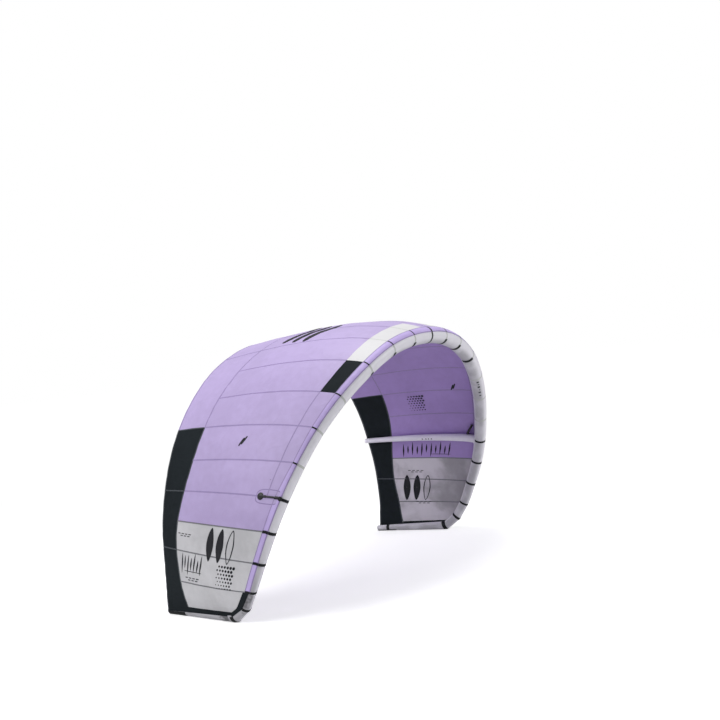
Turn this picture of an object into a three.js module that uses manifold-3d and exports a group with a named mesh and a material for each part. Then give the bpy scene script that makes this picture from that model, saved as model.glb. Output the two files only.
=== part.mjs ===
// A kitesurfing kite: an inflated edge tube and three inflated struts hold a sewn canopy in an arch.
// Millimetres. X runs along the span, the edge tube leads towards -Y, and +Z is up.
// The kite stands on its two wingtip tubes, with the origin on the floor under the middle of its box.
import * as THREE from 'three';
import { mergeVertices } from 'three/addons/utils/BufferGeometryUtils.js';
import Module from 'manifold-3d';

// One row for each joint of the edge tube, from the middle of the kite (0) to the wingtip corner (12).
// edge is the middle of the tube, tube its radius, tail the trailing edge, band the width of the
// reinforced strip along the trailing edge. The other wing is the mirror image.
const joints = [
  { edgeX: 0, edgeY: -722, edgeZ: 1843, tube: 65, tailX: 0, tailY: 811, tailZ: 1923, band: 415 },
  { edgeX: 256, edgeY: -714, edgeZ: 1827, tube: 64.5, tailX: 298, tailY: 810, tailZ: 1894, band: 405 },
  { edgeX: 534, edgeY: -692, edgeZ: 1767, tube: 64, tailX: 582, tailY: 808, tailZ: 1808, band: 393 },
  { edgeX: 817, edgeY: -655, edgeZ: 1644, tube: 62.5, tailX: 839, tailY: 806, tailZ: 1673, band: 370 },
  { edgeX: 1090, edgeY: -582, edgeZ: 1460, tube: 60, tailX: 1050, tailY: 803, tailZ: 1503, band: 340 },
  { edgeX: 1290, edgeY: -504, edgeZ: 1264, tube: 57, tailX: 1218, tailY: 803, tailZ: 1317, band: 325 },
  { edgeX: 1433, edgeY: -424, edgeZ: 1055, tube: 54.5, tailX: 1347, tailY: 803, tailZ: 1101, band: 297 },
  { edgeX: 1538, edgeY: -345, edgeZ: 845, tube: 52, tailX: 1427, tailY: 804, tailZ: 901, band: 257 },
  { edgeX: 1598, edgeY: -261, edgeZ: 638, tube: 49, tailX: 1485, tailY: 800, tailZ: 701, band: 206 },
  { edgeX: 1620, edgeY: -167, edgeZ: 434, tube: 45.5, tailX: 1514, tailY: 797, tailZ: 503, band: 184 },
  { edgeX: 1624, edgeY: -72, edgeZ: 242, tube: 42, tailX: 1522, tailY: 797, tailZ: 276, band: 205 },
  { edgeX: 1604, edgeY: 8, edgeZ: 119, tube: 39.5, tailX: 1518, tailY: 808, tailZ: 142, band: 230 },
  { edgeX: 1580, edgeY: 118, edgeZ: 37, tube: 37, tailX: 1513, tailY: 816, tailZ: 30, band: 258 },
];

// The wingtip tube runs level from the corner to the tail and tapers.
const tipRun = { endX: 1487, endY: 816, endRadius: 26 };
const boxMiddleY = 20.8; // middle of the kite's box along Y, which becomes the origin

const clothGap = 0.4; // between pieces that are sewn edge to edge
const tubeGap = 0.8; // between the tube and the cloth that lies on it
const cloth = { tube: 1.1, strut: 1.1, gore: 1.1, patch: 1.1, strip: 1.1, tail: 3, tip: 3, joint: 1 };

// Angles round the edge tube, in degrees: 0 points to the tail, 90 outwards, 180 to the wind.
const leave = { middle: 108, wing: 100, until: 5 }; // where the cloth leaves the tube
const front = { middle: 160, wing: 122, until: 8 }; // the front seam of the canopy
const tip = { leave: 66, hem: 12, wrap: 78 }; // the same past the last gore, where the border is hemmed

// Camber of the canopy: the angle of its line at the tube and at the tail, in degrees.
const rise = { middle: 20, wing: 12.5, until: 5 };
const fall = 7;
const handle = 0.3; // share of the chord over which each end of the camber line holds its angle

const greyFrom = 8; // joint from which the canopy is grey
const blackFrom = 5; // joint from which the trailing-edge strip is black
const lastGore = 10; // joint at which the wingtip panel begins
const corner = 12;
const tubeEnd = 14;
const tubeSides = 16;
const tension = 0.5; // of the smooth lines through the joints
const ringStep = 0.5; // joints between two rings of the tube
const nudge = 0.1; // joints to either side of a place, to find the direction of a line there

// The row of panels along the edge: its depth behind the tube at the middle, and the loss per joint.
const edgeRow = { depth: 190, lossPerJoint: 13.5, middleHalf: 0.3, whiteEnd: 3, blackEnd: 4 };
const stripDepth = { middle: 6, wing: 28, from: 6 }; // of the front strip behind the tube
const tipBorder = { depth: 45, joint: 11.55 }; // inner lines of the black wingtip border
const tailCuts = [0, 2, 5, 7, 9]; // joints at which the trailing-edge strip is cut

const strut = {
  middle: { joint: 0, front: 42, tail: 24, drop: 38 },
  side: { joint: 7, front: 38, tail: 22, drop: 24 },
  clear: 1,
  dropEnd: 0.17,
  start: 0.02,
  overhang: 12,
  capRings: [{ reach: 0.7, size: 0.8 }, { reach: 1, size: 0.4 }],
  seatGap: 1.4,
  sides: 12,
};
const hose = {
  radius: 6.5,
  behind: 150,
  frontTurn: 0.7,
  steps: 14,
  roundness: 4,
  collar: { radius: 23, height: 5, sides: 20 },
};
const jointBand = {
  firstJoint: 7,
  lastJoint: 10,
  halfWidth: 8,
  gap: 0.35,
  clear: 4,
  end: 380,
  endAtStrut: 318,
};
const tubeCuts = [3, 4, 5]; // joints at which the edge tube is sewn from separate stretches
const tipDome = { length: 12, rings: [{ reach: 0.7, size: 0.8 }, { reach: 1, size: 0.4 }] };

const finishes = {
  lilac: { color: 0xb4a3d6, roughness: 0.62, metalness: 0 },
  white: { color: 0xdfe1de, roughness: 0.6, metalness: 0 },
  grey: { color: 0xbcbdbd, roughness: 0.68, metalness: 0 },
  black: { color: 0x1b2022, roughness: 0.6, metalness: 0 },
  strut: { color: 0xcfc9d8, roughness: 0.6, metalness: 0 },
};

const up = new THREE.Vector3(0, 0, 1);
const radians = THREE.MathUtils.degToRad;
const apothem = Math.cos(Math.PI / tubeSides);
const mirror = (point) => new THREE.Vector3(-point.x, point.y, point.z);
const kite = new THREE.Group();

function blend(change, s) {
  const part = Math.min(Math.abs(s) / change.until, 1);
  return change.middle + (change.wing - change.middle) * part;
}

function leaveAngle(s) {
  const past = Math.max(Math.abs(s) - lastGore, 0) / (corner - lastGore);
  return blend(leave, s) + (tip.leave - leave.wing) * Math.min(past, 1);
}

function frontAngle(s) {
  return Math.abs(s) > lastGore ? leaveAngle(s) + tip.hem : blend(front, s);
}

// A smooth line through one value of every joint, from one wingtip to the other.
function lineThrough(pick) {
  const wing = joints.map(pick);
  const points = [...wing.slice(1).reverse().map(mirror), ...wing];
  const curve = new THREE.CatmullRomCurve3(points, false, 'catmullrom', tension);
  return (s) => curve.getPoint((s + corner) / (2 * corner));
}

const edgeLine = lineThrough((joint) => new THREE.Vector3(joint.edgeX, joint.edgeY, joint.edgeZ));
const tailLine = lineThrough((joint) => new THREE.Vector3(joint.tailX, joint.tailY, joint.tailZ));
const sizeLine = lineThrough((joint) => new THREE.Vector3(0, joint.tube, joint.band));

// Rings of the edge tube: every half joint along the arch, then the corner and the tube's end.
function ringCentre(s) {
  if (s < corner) {
    return { point: edgeLine(s), radius: sizeLine(s).y };
  }
  const last = joints[corner];
  if (s === corner) {
    return { point: new THREE.Vector3(last.edgeX, last.edgeY, last.tube * apothem), radius: last.tube };
  }
  const end = new THREE.Vector3(tipRun.endX, tipRun.endY, tipRun.endRadius * apothem);
  return { point: end, radius: tipRun.endRadius };
}

const stations = [];
for (let s = 0; s <= lastGore; s += ringStep) {
  stations.push({ s, ...ringCentre(s) });
}
for (const s of [corner - 1, corner, tubeEnd]) {
  stations.push({ s, ...ringCentre(s) });
}

// Each stretch of tube has a direction, one axis towards the cloth and one outwards.
stations.slice(0, -1).forEach((station, index) => {
  const next = stations[index + 1];
  const along = next.point.clone().sub(station.point);
  const toCloth = up.clone();
  if (station.s === corner) {
    along.z = 0;
  } else {
    const middle = (station.s + next.s) / 2;
    toCloth.copy(tailLine(middle)).sub(edgeLine(middle));
  }
  along.normalize();
  toCloth.addScaledVector(along, -toCloth.dot(along)).normalize();
  station.along = along;
  station.toCloth = toCloth;
  station.outward = along.clone().cross(toCloth);
});
const lastStation = stations[stations.length - 1];
const runStation = stations[stations.length - 2];
lastStation.along = runStation.along;
lastStation.toCloth = runStation.toCloth;
lastStation.outward = runStation.outward;

// Rings stand on the planes that halve the bends, as the sewn joints do.
stations.forEach((station, index) => {
  const before = index > 0 ? stations[index - 1].along : mirror(station.along).negate();
  station.mitre = before.clone().add(station.along).normalize();
});

function ringPoint(station, angle, lift) {
  const reach = station.radius + lift;
  const offset = station.toCloth.clone().multiplyScalar(reach * Math.cos(radians(angle)));
  offset.addScaledVector(station.outward, reach * Math.sin(radians(angle)));
  const slide = -offset.dot(station.mitre) / station.along.dot(station.mitre);
  return station.point.clone().add(offset).addScaledVector(station.along, slide);
}

function tubePoint(s, angle, lift) {
  if (s < 0) {
    return mirror(tubePoint(-s, angle, lift));
  }
  const index = Math.max(1, stations.findIndex((station) => station.s >= s));
  const low = stations[index - 1];
  const high = stations[index];
  const part = (s - low.s) / (high.s - low.s);
  return ringPoint(low, angle, lift).lerp(ringPoint(high, angle, lift), part);
}

// The canopy from the tube (u = 0) to the tail (u = 1). Below 0 it lies on the tube, down to the
// front seam (u = -1). Past the corner joint it lies on the wingtip tube.
function chordOf(place) {
  const s = Math.min(place, corner);
  const start = tubePoint(s, leaveAngle(s), tubeGap);
  const end = Math.abs(s) < corner ? tailLine(s) : tubePoint(tubeEnd, tip.leave, tubeGap);
  const chord = end.clone().sub(start);
  const span = edgeLine(Math.min(s + nudge, corner)).sub(edgeLine(Math.min(s, corner - nudge)));
  const outward = span.cross(chord).normalize();
  const along = chord.clone().normalize();
  const fade = Math.min(1, (corner - s) / (corner - lastGore));
  const reach = handle * chord.length();
  const first = radians(blend(rise, s) * fade);
  const last = radians(fall * fade);
  const second = start.clone().addScaledVector(along, reach * Math.cos(first));
  second.addScaledVector(outward, reach * Math.sin(first));
  const third = end.clone().addScaledVector(along, -reach * Math.cos(last));
  third.addScaledVector(outward, reach * Math.sin(last));
  return { line: new THREE.CubicBezierCurve3(start, second, third, end), outward, length: chord.length() };
}

function canopyPoint(s, u, lift) {
  if (s < 0) {
    return mirror(canopyPoint(-s, u, lift));
  }
  if (s > corner) {
    const part = handleShare(u);
    const angle = tip.leave + (tip.wrap - tip.leave) * (s - corner);
    return tubePoint(corner + (tubeEnd - corner) * part, angle, tubeGap + lift);
  }
  if (u < 0) {
    const angle = leaveAngle(s) - u * (frontAngle(s) - leaveAngle(s));
    return tubePoint(s, angle, tubeGap + lift);
  }
  const chord = chordOf(s);
  const direction = chord.line.getTangent(u);
  const normal = chord.outward.clone().addScaledVector(direction, -chord.outward.dot(direction));
  return chord.line.getPoint(u).addScaledVector(normal.normalize(), lift);
}

// How far along a straight chord the point u lies, as a share of its length.
function handleShare(u) {
  const near = 3 * (1 - u) * (1 - u) * u * handle;
  const far = 3 * (1 - u) * u * u * (1 - handle);
  return near + far + u * u * u;
}

const depthToU = (s, depth) => depth / chordOf(Math.abs(s)).length;
const rowLine = (s) => depthToU(s, edgeRow.depth - edgeRow.lossPerJoint * Math.abs(s));
const stripPart = (s) => Math.min(Math.max(Math.abs(s) - stripDepth.from, 0), 1);
const stripReach = (s) => stripDepth.middle + (stripDepth.wing - stripDepth.middle) * stripPart(s);
const stripLine = (s) => depthToU(s, stripReach(s));
const bandLine = (s) => 1 - depthToU(s, sizeLine(Math.min(Math.abs(s), corner)).z);
const gapInU = (s) => depthToU(s, clothGap / 2);
const jointLength = (s) => edgeLine(s - nudge).distanceTo(edgeLine(s + nudge)) / (2 * nudge);
const gapInS = (s) => clothGap / 2 / jointLength(s);

function addPiece(name, finish, geometry) {
  const mesh = new THREE.Mesh(geometry, new THREE.MeshStandardMaterial(finishes[finish]));
  mesh.name = name;
  mesh.position.y = -boxMiddleY;
  kite.add(mesh);
  return mesh;
}

// A closed solid between an outer and an inner grid of points. Rows and columns run so that their
// cross product points outwards. A round grid closes on itself, a capped one has a closed last row.
function gridSolid(outer, inner, { keep = () => true, round = false, capped = false } = {}) {
  const rows = outer.length;
  const columns = outer[0].length;
  const points = [...outer.flat(), ...inner.flat()];
  const at = (row, column, side) => side * rows * columns + row * columns + (column % columns);
  const cellColumns = round ? columns : columns - 1;
  const solid = (row, column) => {
    const wrapped = round ? (column + cellColumns) % cellColumns : column;
    const inside = row >= 0 && row < rows - 1 && wrapped >= 0 && wrapped < cellColumns;
    return inside && keep(row, wrapped);
  };
  const faces = [];
  const quad = (a, b, c, d) => faces.push(a, b, c, a, c, d);
  for (let row = 0; row < rows - 1; row += 1) {
    for (let column = 0; column < cellColumns; column += 1) {
      if (!solid(row, column)) {
        continue;
      }
      const [a, b] = [at(row, column, 0), at(row + 1, column, 0)];
      const [c, d] = [at(row + 1, column + 1, 0), at(row, column + 1, 0)];
      const [e, f] = [at(row, column, 1), at(row + 1, column, 1)];
      const [g, h] = [at(row + 1, column + 1, 1), at(row, column + 1, 1)];
      quad(a, b, c, d);
      quad(e, h, g, f);
      if (!solid(row - 1, column)) {
        quad(a, d, h, e);
      }
      if (!solid(row + 1, column) && !(capped && row === rows - 2)) {
        quad(c, b, f, g);
      }
      if (!solid(row, column - 1)) {
        quad(b, a, e, f);
      }
      if (!solid(row, column + 1)) {
        quad(d, c, g, h);
      }
    }
  }
  if (capped) {
    for (const side of [0, 1]) {
      const ring = side === 0 ? outer[rows - 1] : inner[rows - 1];
      const middle = new THREE.Vector3();
      ring.forEach((point) => middle.addScaledVector(point, 1 / columns));
      points.push(middle);
      for (let column = 0; column < columns; column += 1) {
        const pair = [at(rows - 1, column, side), at(rows - 1, column + 1, side)];
        faces.push(...(side === 0 ? [pair[1], pair[0]] : pair), points.length - 1);
      }
    }
  }
  const geometry = new THREE.BufferGeometry();
  const numbers = points.flatMap((point) => point.toArray());
  geometry.setAttribute('position', new THREE.Float32BufferAttribute(numbers, 3));
  geometry.setIndex(faces);
  return mergeVertices(geometry);
}

// A piece of canopy cloth over a list of joints and, at each joint, a list of places along the chord.
function clothPiece(name, finish, sLines, uLines, thickness, keep) {
  const grid = (lift) => sLines.map((s) => uLines(s).map((u) => canopyPoint(s, u, lift)));
  return addPiece(name, finish, gridSolid(grid(thickness), grid(0), { keep }));
}

function spread(from, to, steps) {
  return Array.from({ length: steps + 1 }, (_, i) => from + ((to - from) * i) / steps);
}

const sides = [
  { word: 'left', sign: -1 },
  { word: 'right', sign: 1 },
];
const onSide = (sign, lines) => (sign > 0 ? lines : lines.map((s) => -s).reverse());

// Places along the chord that all cloth shares, so that neighbours meet along the same lines.
const goreSteps = 9;
const bandSteps = 3;
const rowSteps = 3;
const stripSteps = 5;
const borderSteps = 3;
const tipLines = [10.5, 11];
const wrapLines = [corner, corner + 0.5, corner + 1];
const goreLines = (s, start) => spread(start + gapInU(s), bandLine(s) - gapInU(s), goreSteps);
const panelLines = (s) => spread(stripLine(s) + gapInU(s), rowLine(s) - gapInU(s), rowSteps);
const middleLines = (s) => [...panelLines(s).slice(0, rowSteps), ...goreLines(s, rowLine(s))];

// The edge tube is sewn from stretches that meet at joints. The outermost one ends in a closed dome.
const tubeAngles = spread(tubeSides - 0.5, 0.5, tubeSides - 1).map((step) => (360 / tubeSides) * step);

function tubeGrid(lines, lift) {
  return lines.map((s) => tubeAngles.map((angle) => tubePoint(s, angle, lift)));
}

function addEdgeTube() {
  const [firstCut] = tubeCuts;
  const places = stations.map((station) => station.s);
  const inMiddle = places.filter((s) => s < firstCut);
  const middleEnd = firstCut - gapInS(firstCut);
  const wing = [...inMiddle, middleEnd];
  const middle = [...wing.slice(1).reverse().map((s) => -s), ...wing];
  const tubes = (lines) => [tubeGrid(lines, 0), tubeGrid(lines, -cloth.tube)];
  addPiece('edge_tube_middle', 'white', gridSolid(...tubes(middle), { round: true }));
  tubeCuts.forEach((cut, i) => {
    const last = i === tubeCuts.length - 1;
    const next = last ? tubeEnd : tubeCuts[i + 1];
    const between = places.filter((s) => s > cut && s < next);
    const lines = [cut + gapInS(cut), ...between, last ? next : next - gapInS(next)];
    const [outer, inner] = tubes(lines);
    if (last) {
      outer.push(...domeRings(outer.at(-1), 0));
      inner.push(...domeRings(inner.at(-1), cloth.tube));
    }
    const style = { round: true, capped: last };
    const turned = (grid) => grid.map((ring) => ring.map(mirror).reverse());
    addPiece(`edge_tube_right_${i + 1}`, 'white', gridSolid(outer, inner, style));
    addPiece(`edge_tube_left_${i + 1}`, 'white', gridSolid(turned(outer), turned(inner), style));
  });
}

function domeRings(ring, shrink) {
  const { point: centre, along } = lastStation;
  return tipDome.rings.map(({ reach, size }) => ring.map((point) => point.clone().sub(centre)
    .multiplyScalar(size)
    .add(centre)
    .addScaledVector(along, reach * tipDome.length - shrink)));
}

function addGores() {
  for (const { word, sign } of sides) {
    for (let joint = 0; joint < lastGore; joint += 1) {
      const [from, to] = [joint + gapInS(joint), joint + 1 - gapInS(joint + 1)];
      const behindRow = joint < edgeRow.blackEnd;
      const inTip = joint >= greyFrom;
      const finish = inTip ? 'grey' : 'lilac';
      const name = `gore_${word}_${joint + 1}`;
      if (joint === 0) {
        addMiddleGore(name, sign, from, to);
        continue;
      }
      const start = behindRow ? rowLine : stripLine;
      const lines = onSide(sign, [from, joint + ringStep, to]);
      const thickness = inTip ? cloth.tip : cloth.gore;
      clothPiece(name, finish, lines, (s) => goreLines(s, start(s)), thickness);
    }
  }
}

// The middle gores reach the front strip in a tongue between the white panels.
function addMiddleGore(name, sign, from, to) {
  const tongue = edgeRow.middleHalf - gapInS(edgeRow.middleHalf);
  const lines = onSide(sign, [from, tongue, ringStep, to]);
  const tongueRow = sign > 0 ? 0 : 2;
  const keep = (row, column) => row === tongueRow || column >= rowSteps;
  clothPiece(name, 'lilac', lines, middleLines, cloth.gore, keep);
}

function addEdgePanels() {
  const panels = [
    { word: 'white', from: edgeRow.middleHalf, to: edgeRow.whiteEnd, lines: [0.5, 1, 1.5, 2, 2.5] },
    { word: 'black', from: edgeRow.whiteEnd, to: edgeRow.blackEnd, lines: [3.5] },
  ];
  for (const { word, sign } of sides) {
    for (const panel of panels) {
      const from = panel.from + gapInS(panel.from);
      const to = panel.to - gapInS(panel.to);
      const lines = onSide(sign, [from, ...panel.lines, to]);
      clothPiece(`edge_panel_${panel.word}_${word}`, panel.word, lines, panelLines, cloth.patch);
    }
  }
}

// The strip that joins the canopy to the tube, from the front seam to just behind the tube.
function addFrontStrips() {
  for (const { word, sign } of sides) {
    const between = stations.map((station) => station.s).filter((s) => s > 0 && s < lastGore);
    const lines = [gapInS(0), ...between, lastGore - gapInS(lastGore)];
    const places = (s) => [...spread(-1, 0, stripSteps), stripLine(s) - gapInU(s)];
    clothPiece(`front_strip_${word}`, 'lilac', onSide(sign, lines), places, cloth.strip);
  }
}

// The wingtip panel, and the black border in front of it and below it, which ends on the tube.
function addTips() {
  const borderLine = (s) => depthToU(s, tipBorder.depth);
  const top = lastGore + gapInS(lastGore);
  const inner = [top, ...tipLines, tipBorder.joint - gapInS(tipBorder.joint)];
  const outer = [top, ...tipLines, tipBorder.joint + gapInS(tipBorder.joint), ...wrapLines];
  const panelPlaces = (s) => goreLines(s, borderLine(s));
  const borderPlaces = (s) => [
    ...spread(-1, 0, borderSteps),
    borderLine(s) - gapInU(s),
    ...panelPlaces(s).slice(1),
  ];
  const frontCells = borderSteps + 1;
  const besideRows = tipLines.length + 1;
  for (const { word, sign } of sides) {
    const keep = (row, column) => {
      const step = sign > 0 ? row : outer.length - 2 - row;
      return step >= besideRows ? step === besideRows || column >= frontCells : column < frontCells;
    };
    clothPiece(`tip_panel_${word}`, 'grey', onSide(sign, inner), panelPlaces, cloth.tip);
    clothPiece(`tip_border_${word}`, 'black', onSide(sign, outer), borderPlaces, cloth.tip, keep);
  }
}

function addTailBand() {
  const places = (s) => spread(bandLine(s) + gapInU(s), 1, bandSteps);
  const [, firstCut] = tailCuts;
  const middle = spread(-firstCut + gapInS(firstCut), firstCut - gapInS(firstCut), 4 * firstCut);
  clothPiece('tail_band_middle', 'lilac', middle, places, cloth.tail);
  for (const { word, sign } of sides) {
    for (let i = 1; i < tailCuts.length; i += 1) {
      const last = i === tailCuts.length - 1;
      const from = tailCuts[i];
      const to = last ? lastGore : tailCuts[i + 1];
      const steps = spread(from + gapInS(from), to, 2 * (to - from));
      const past = [...tipLines, tipBorder.joint, ...wrapLines];
      const lines = last ? [...steps, ...past] : [...steps.slice(0, -1), to - gapInS(to)];
      const finish = from < blackFrom ? 'lilac' : 'black';
      clothPiece(`tail_band_${word}_${i}`, finish, onSide(sign, lines), places, cloth.tail);
    }
  }
}

// A strut lies under its seam from the back of the edge tube to just past the tail.
function addStrut(name, size, sign) {
  const s = size.joint;
  const chord = chordOf(s);
  const canopy = s === 0 ? middleLines(s) : goreLines(s, stripLine(s));
  const places = [strut.start, ...canopy.slice(1), ...spread(bandLine(s), 1, bandSteps).slice(1)];
  const edge = tubePoint(s, 90, 0).lerp(tubePoint(s, 270, 0), 0.5);
  const tube = sizeLine(s).y + strut.seatGap;
  const across = chord.outward.clone().cross(chord.line.getTangent(0.5)).normalize();
  const angles = Array.from({ length: strut.sides }, (_, i) => (360 / strut.sides) * i);
  const backward = chord.line.v3.clone().sub(edge).normalize();
  const upward = backward.clone().cross(across).normalize();
  const ringAt = (u, radius, shrink) => {
    const share = Math.max(0, 1 - u / strut.dropEnd);
    const top = canopyPoint(s, u, -strut.clear - size.drop * share * share);
    const centre = top.addScaledVector(upward, -radius);
    return angles.map((angle) => centre.clone()
      .addScaledVector(upward, (radius - shrink) * Math.cos(radians(angle)))
      .addScaledVector(across, (radius - shrink) * Math.sin(radians(angle))));
  };
  const radiusAt = (u) => size.front + (size.tail - size.front) * u;
  // The first ring is shaped to the back of the edge tube, on both stretches that meet at the joint.
  const joint = stations.findIndex((station) => station.s === s);
  const before = joint > 0 ? stations[joint - 1].along : mirror(stations[joint].along).negate();
  const stretches = [before, stations[joint].along];
  const seatOn = (point, along) => {
    const offset = point.clone().sub(edge);
    const aside = offset.addScaledVector(along, -offset.dot(along));
    const path = backward.clone().addScaledVector(along, -backward.dot(along));
    const [a, b, c] = [path.lengthSq(), aside.dot(path), aside.lengthSq() - tube * tube];
    return (-b + Math.sqrt(Math.max(0, b * b - a * c))) / a;
  };
  const saddle = (shrink) => ringAt(places[0], radiusAt(places[0]), shrink).map((point) => {
    const slides = stretches.map((along) => seatOn(point, along));
    return point.clone().addScaledVector(backward, Math.max(...slides));
  });
  const body = (shrink) => places.slice(1).map((u) => ringAt(u, radiusAt(u), shrink));
  const cap = (shrink) => strut.capRings.map(({ reach, size: share }) => {
    const ring = ringAt(1, size.tail, 0);
    const centre = new THREE.Vector3();
    ring.forEach((point) => centre.addScaledVector(point, 1 / ring.length));
    const scale = (share * (size.tail - shrink)) / size.tail;
    const shift = strut.overhang * reach - shrink;
    return ring.map((point) => point.sub(centre).multiplyScalar(scale).add(centre)
      .addScaledVector(backward, shift));
  });
  const grid = (shrink) => [saddle(shrink), ...body(shrink), ...cap(shrink)];
  const place = (rings) => (sign < 0 ? rings.map((ring) => ring.map(mirror).reverse()) : rings);
  const [outer, inner] = [place(grid(0)), place(grid(cloth.strut))];
  addPiece(name, 'strut', gridSolid(outer, inner, { round: true, capped: true }));
}

// A black band round the tube at a joint, from the front seam round to the inside. Its folds lie on
// the corners of the tube.
const ringAngles = spread(0.5, 2 * tubeSides - 0.5, 2 * tubeSides - 1)
  .map((step) => (360 / tubeSides) * step)
  .reverse();

function addJointBands() {
  const bands = [{ s: 0, name: 'joint_band_middle', from: blend(front, 0), to: jointBand.endAtStrut }];
  for (const { word, sign } of sides) {
    for (let joint = jointBand.firstJoint; joint <= jointBand.lastJoint; joint += 1) {
      const to = joint === strut.side.joint ? jointBand.endAtStrut : jointBand.end;
      bands.push({ s: sign * joint, name: `joint_band_${word}_${joint}`, from: blend(front, joint), to });
    }
  }
  for (const { s, name, from, to } of bands) {
    const angles = ringAngles.filter((angle) => angle > from + jointBand.clear && angle < to);
    const width = jointBand.halfWidth / jointLength(s);
    const lines = [s - width, s, s + width];
    const grid = (lift) => lines.map((line) => angles.map((angle) => tubePoint(line, angle, lift)));
    addPiece(name, 'black', gridSolid(grid(jointBand.gap + cloth.joint), grid(jointBand.gap)));
  }
}

const wasm = await Module();
wasm.setup();

function toManifold(geometry) {
  const bare = geometry.clone();
  bare.deleteAttribute('normal');
  bare.deleteAttribute('uv');
  const merged = mergeVertices(bare);
  const vertProperties = new Float32Array(merged.attributes.position.array);
  const triVerts = new Uint32Array(merged.index.array);
  return new wasm.Manifold(new wasm.Mesh({ numProp: 3, vertProperties, triVerts }));
}

function fromManifold(solid) {
  const mesh = solid.getMesh();
  const geometry = new THREE.BufferGeometry();
  geometry.setAttribute('position', new THREE.BufferAttribute(mesh.vertProperties, 3));
  geometry.setIndex(new THREE.BufferAttribute(mesh.triVerts, 1));
  return geometry;
}

// The hose that fills a side strut crosses the canopy from a round collar to the edge tube.
function addHose({ word, sign }) {
  const s = strut.side.joint;
  const far = depthToU(s, hose.behind);
  const floor = cloth.gore + clothGap;
  const height = floor + hose.radius;
  const route = [...spread(far, 0, 5), ...spread(0, -hose.frontTurn, 3).slice(1)];
  const path = new THREE.CatmullRomCurve3(route.map((u) => canopyPoint(sign * s, u, height)));
  const round = new THREE.Shape();
  round.absarc(0, 0, hose.radius, 0, 2 * Math.PI);
  const sweep = { extrudePath: path, steps: hose.steps, curveSegments: hose.roundness, bevelEnabled: false };
  const pipe = new THREE.ExtrudeGeometry(round, sweep);
  const { radius, height: depth, sides: collarSides } = hose.collar;
  const collar = new THREE.CylinderGeometry(radius, radius, depth, collarSides);
  const low = canopyPoint(sign * s, far, floor);
  const normal = canopyPoint(sign * s, far, height).sub(low).normalize();
  collar.applyQuaternion(new THREE.Quaternion().setFromUnitVectors(new THREE.Vector3(0, 1, 0), normal));
  const seat = low.addScaledVector(normal, depth / 2);
  collar.translate(seat.x, seat.y, seat.z);
  addPiece(`inflation_hose_${word}`, 'black', fromManifold(toManifold(pipe).add(toManifold(collar))));
}

addEdgeTube();
addStrut('strut_middle', strut.middle, 1);
addStrut('strut_left', strut.side, -1);
addStrut('strut_right', strut.side, 1);
addGores();
addEdgePanels();
addFrontStrips();
addTips();
addTailBand();
addJointBands();
sides.forEach(addHose);

export default kite;
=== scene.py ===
import math

import bpy
import numpy as np
from mathutils import Matrix


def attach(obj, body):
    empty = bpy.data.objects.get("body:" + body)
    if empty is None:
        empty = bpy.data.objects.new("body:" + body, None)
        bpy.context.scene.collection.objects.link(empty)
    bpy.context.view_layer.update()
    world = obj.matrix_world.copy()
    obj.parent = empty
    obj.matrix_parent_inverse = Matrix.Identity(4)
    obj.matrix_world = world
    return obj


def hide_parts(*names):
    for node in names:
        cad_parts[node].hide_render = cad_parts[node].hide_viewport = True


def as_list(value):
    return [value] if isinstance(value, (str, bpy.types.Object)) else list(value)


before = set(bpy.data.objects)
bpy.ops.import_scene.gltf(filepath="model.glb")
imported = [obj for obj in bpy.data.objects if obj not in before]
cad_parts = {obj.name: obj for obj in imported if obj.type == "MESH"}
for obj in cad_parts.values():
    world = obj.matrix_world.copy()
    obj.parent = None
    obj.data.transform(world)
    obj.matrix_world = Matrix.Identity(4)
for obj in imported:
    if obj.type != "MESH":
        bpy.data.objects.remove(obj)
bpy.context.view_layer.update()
print("frame loaded")

# The kite's shape, in millimetres, one row per joint from the middle (0) to the wingtip corner (12):
# middle of the leading tube x y z, its radius, trailing edge x y z, width of the trailing-edge strip.
jointTable = np.array([
    (0, -722, 1843, 65, 0, 811, 1923, 415),
    (256, -714, 1827, 64.5, 298, 810, 1894, 405),
    (534, -692, 1767, 64, 582, 808, 1808, 393),
    (817, -655, 1644, 62.5, 839, 806, 1673, 370),
    (1090, -582, 1460, 60, 1050, 803, 1503, 340),
    (1290, -504, 1264, 57, 1218, 803, 1317, 325),
    (1433, -424, 1055, 54.5, 1347, 803, 1101, 297),
    (1538, -345, 845, 52, 1427, 804, 901, 257),
    (1598, -261, 638, 49, 1485, 800, 701, 206),
    (1620, -167, 434, 45.5, 1514, 797, 503, 184),
    (1624, -72, 242, 42, 1522, 797, 276, 205),
    (1604, 8, 119, 39.5, 1518, 808, 142, 230),
    (1580, 118, 37, 37, 1513, 816, 30, 258),
]) / 1000
shape = {
    "tipEnd": (1.487, 0.816, 0.026),  # x, y and radius of the wingtip tube's end
    "middleY": 0.0208,  # of the box along Y, which becomes the origin
    "sides": 16,  # of the solid tube, which sets how high the wingtip tubes lie
    "tubeGap": 0.0008,
    "leave": (108, 100, 5),  # angle at the middle, on the wing, and the joint from which it holds
    "front": (160, 122, 8),
    "rise": (20, 12.5, 5),
    "fall": 7,
    "handle": 0.3,
    "tip": (66, 12, 78),  # past joint 10: where the cloth leaves the tube, its hem, and the end of its wrap
    "stripDepth": (0.006, 0.028, 6),
    "rowDepth": (0.190, 0.0135),
    "tipBorder": 0.045,
    "cornerRound": 0.14,  # joints over which the wingtip corner's two bends are rounded
    "nudge": 0.1,  # joints to either side of a place, to find the direction of a line there
    "overrun": 1.02,  # share of the chord up to which the cloth can be followed past its end
}
lastGore, corner, tubeEnd, borderJoint = 10, 12, 14, 11.55
whiteStart, whiteEnd, blackEnd = 0.3, 3, 4  # joints between which the panels behind the tube lie
floorGap = 0.0002
apothem = math.cos(math.pi / shape["sides"])


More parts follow.
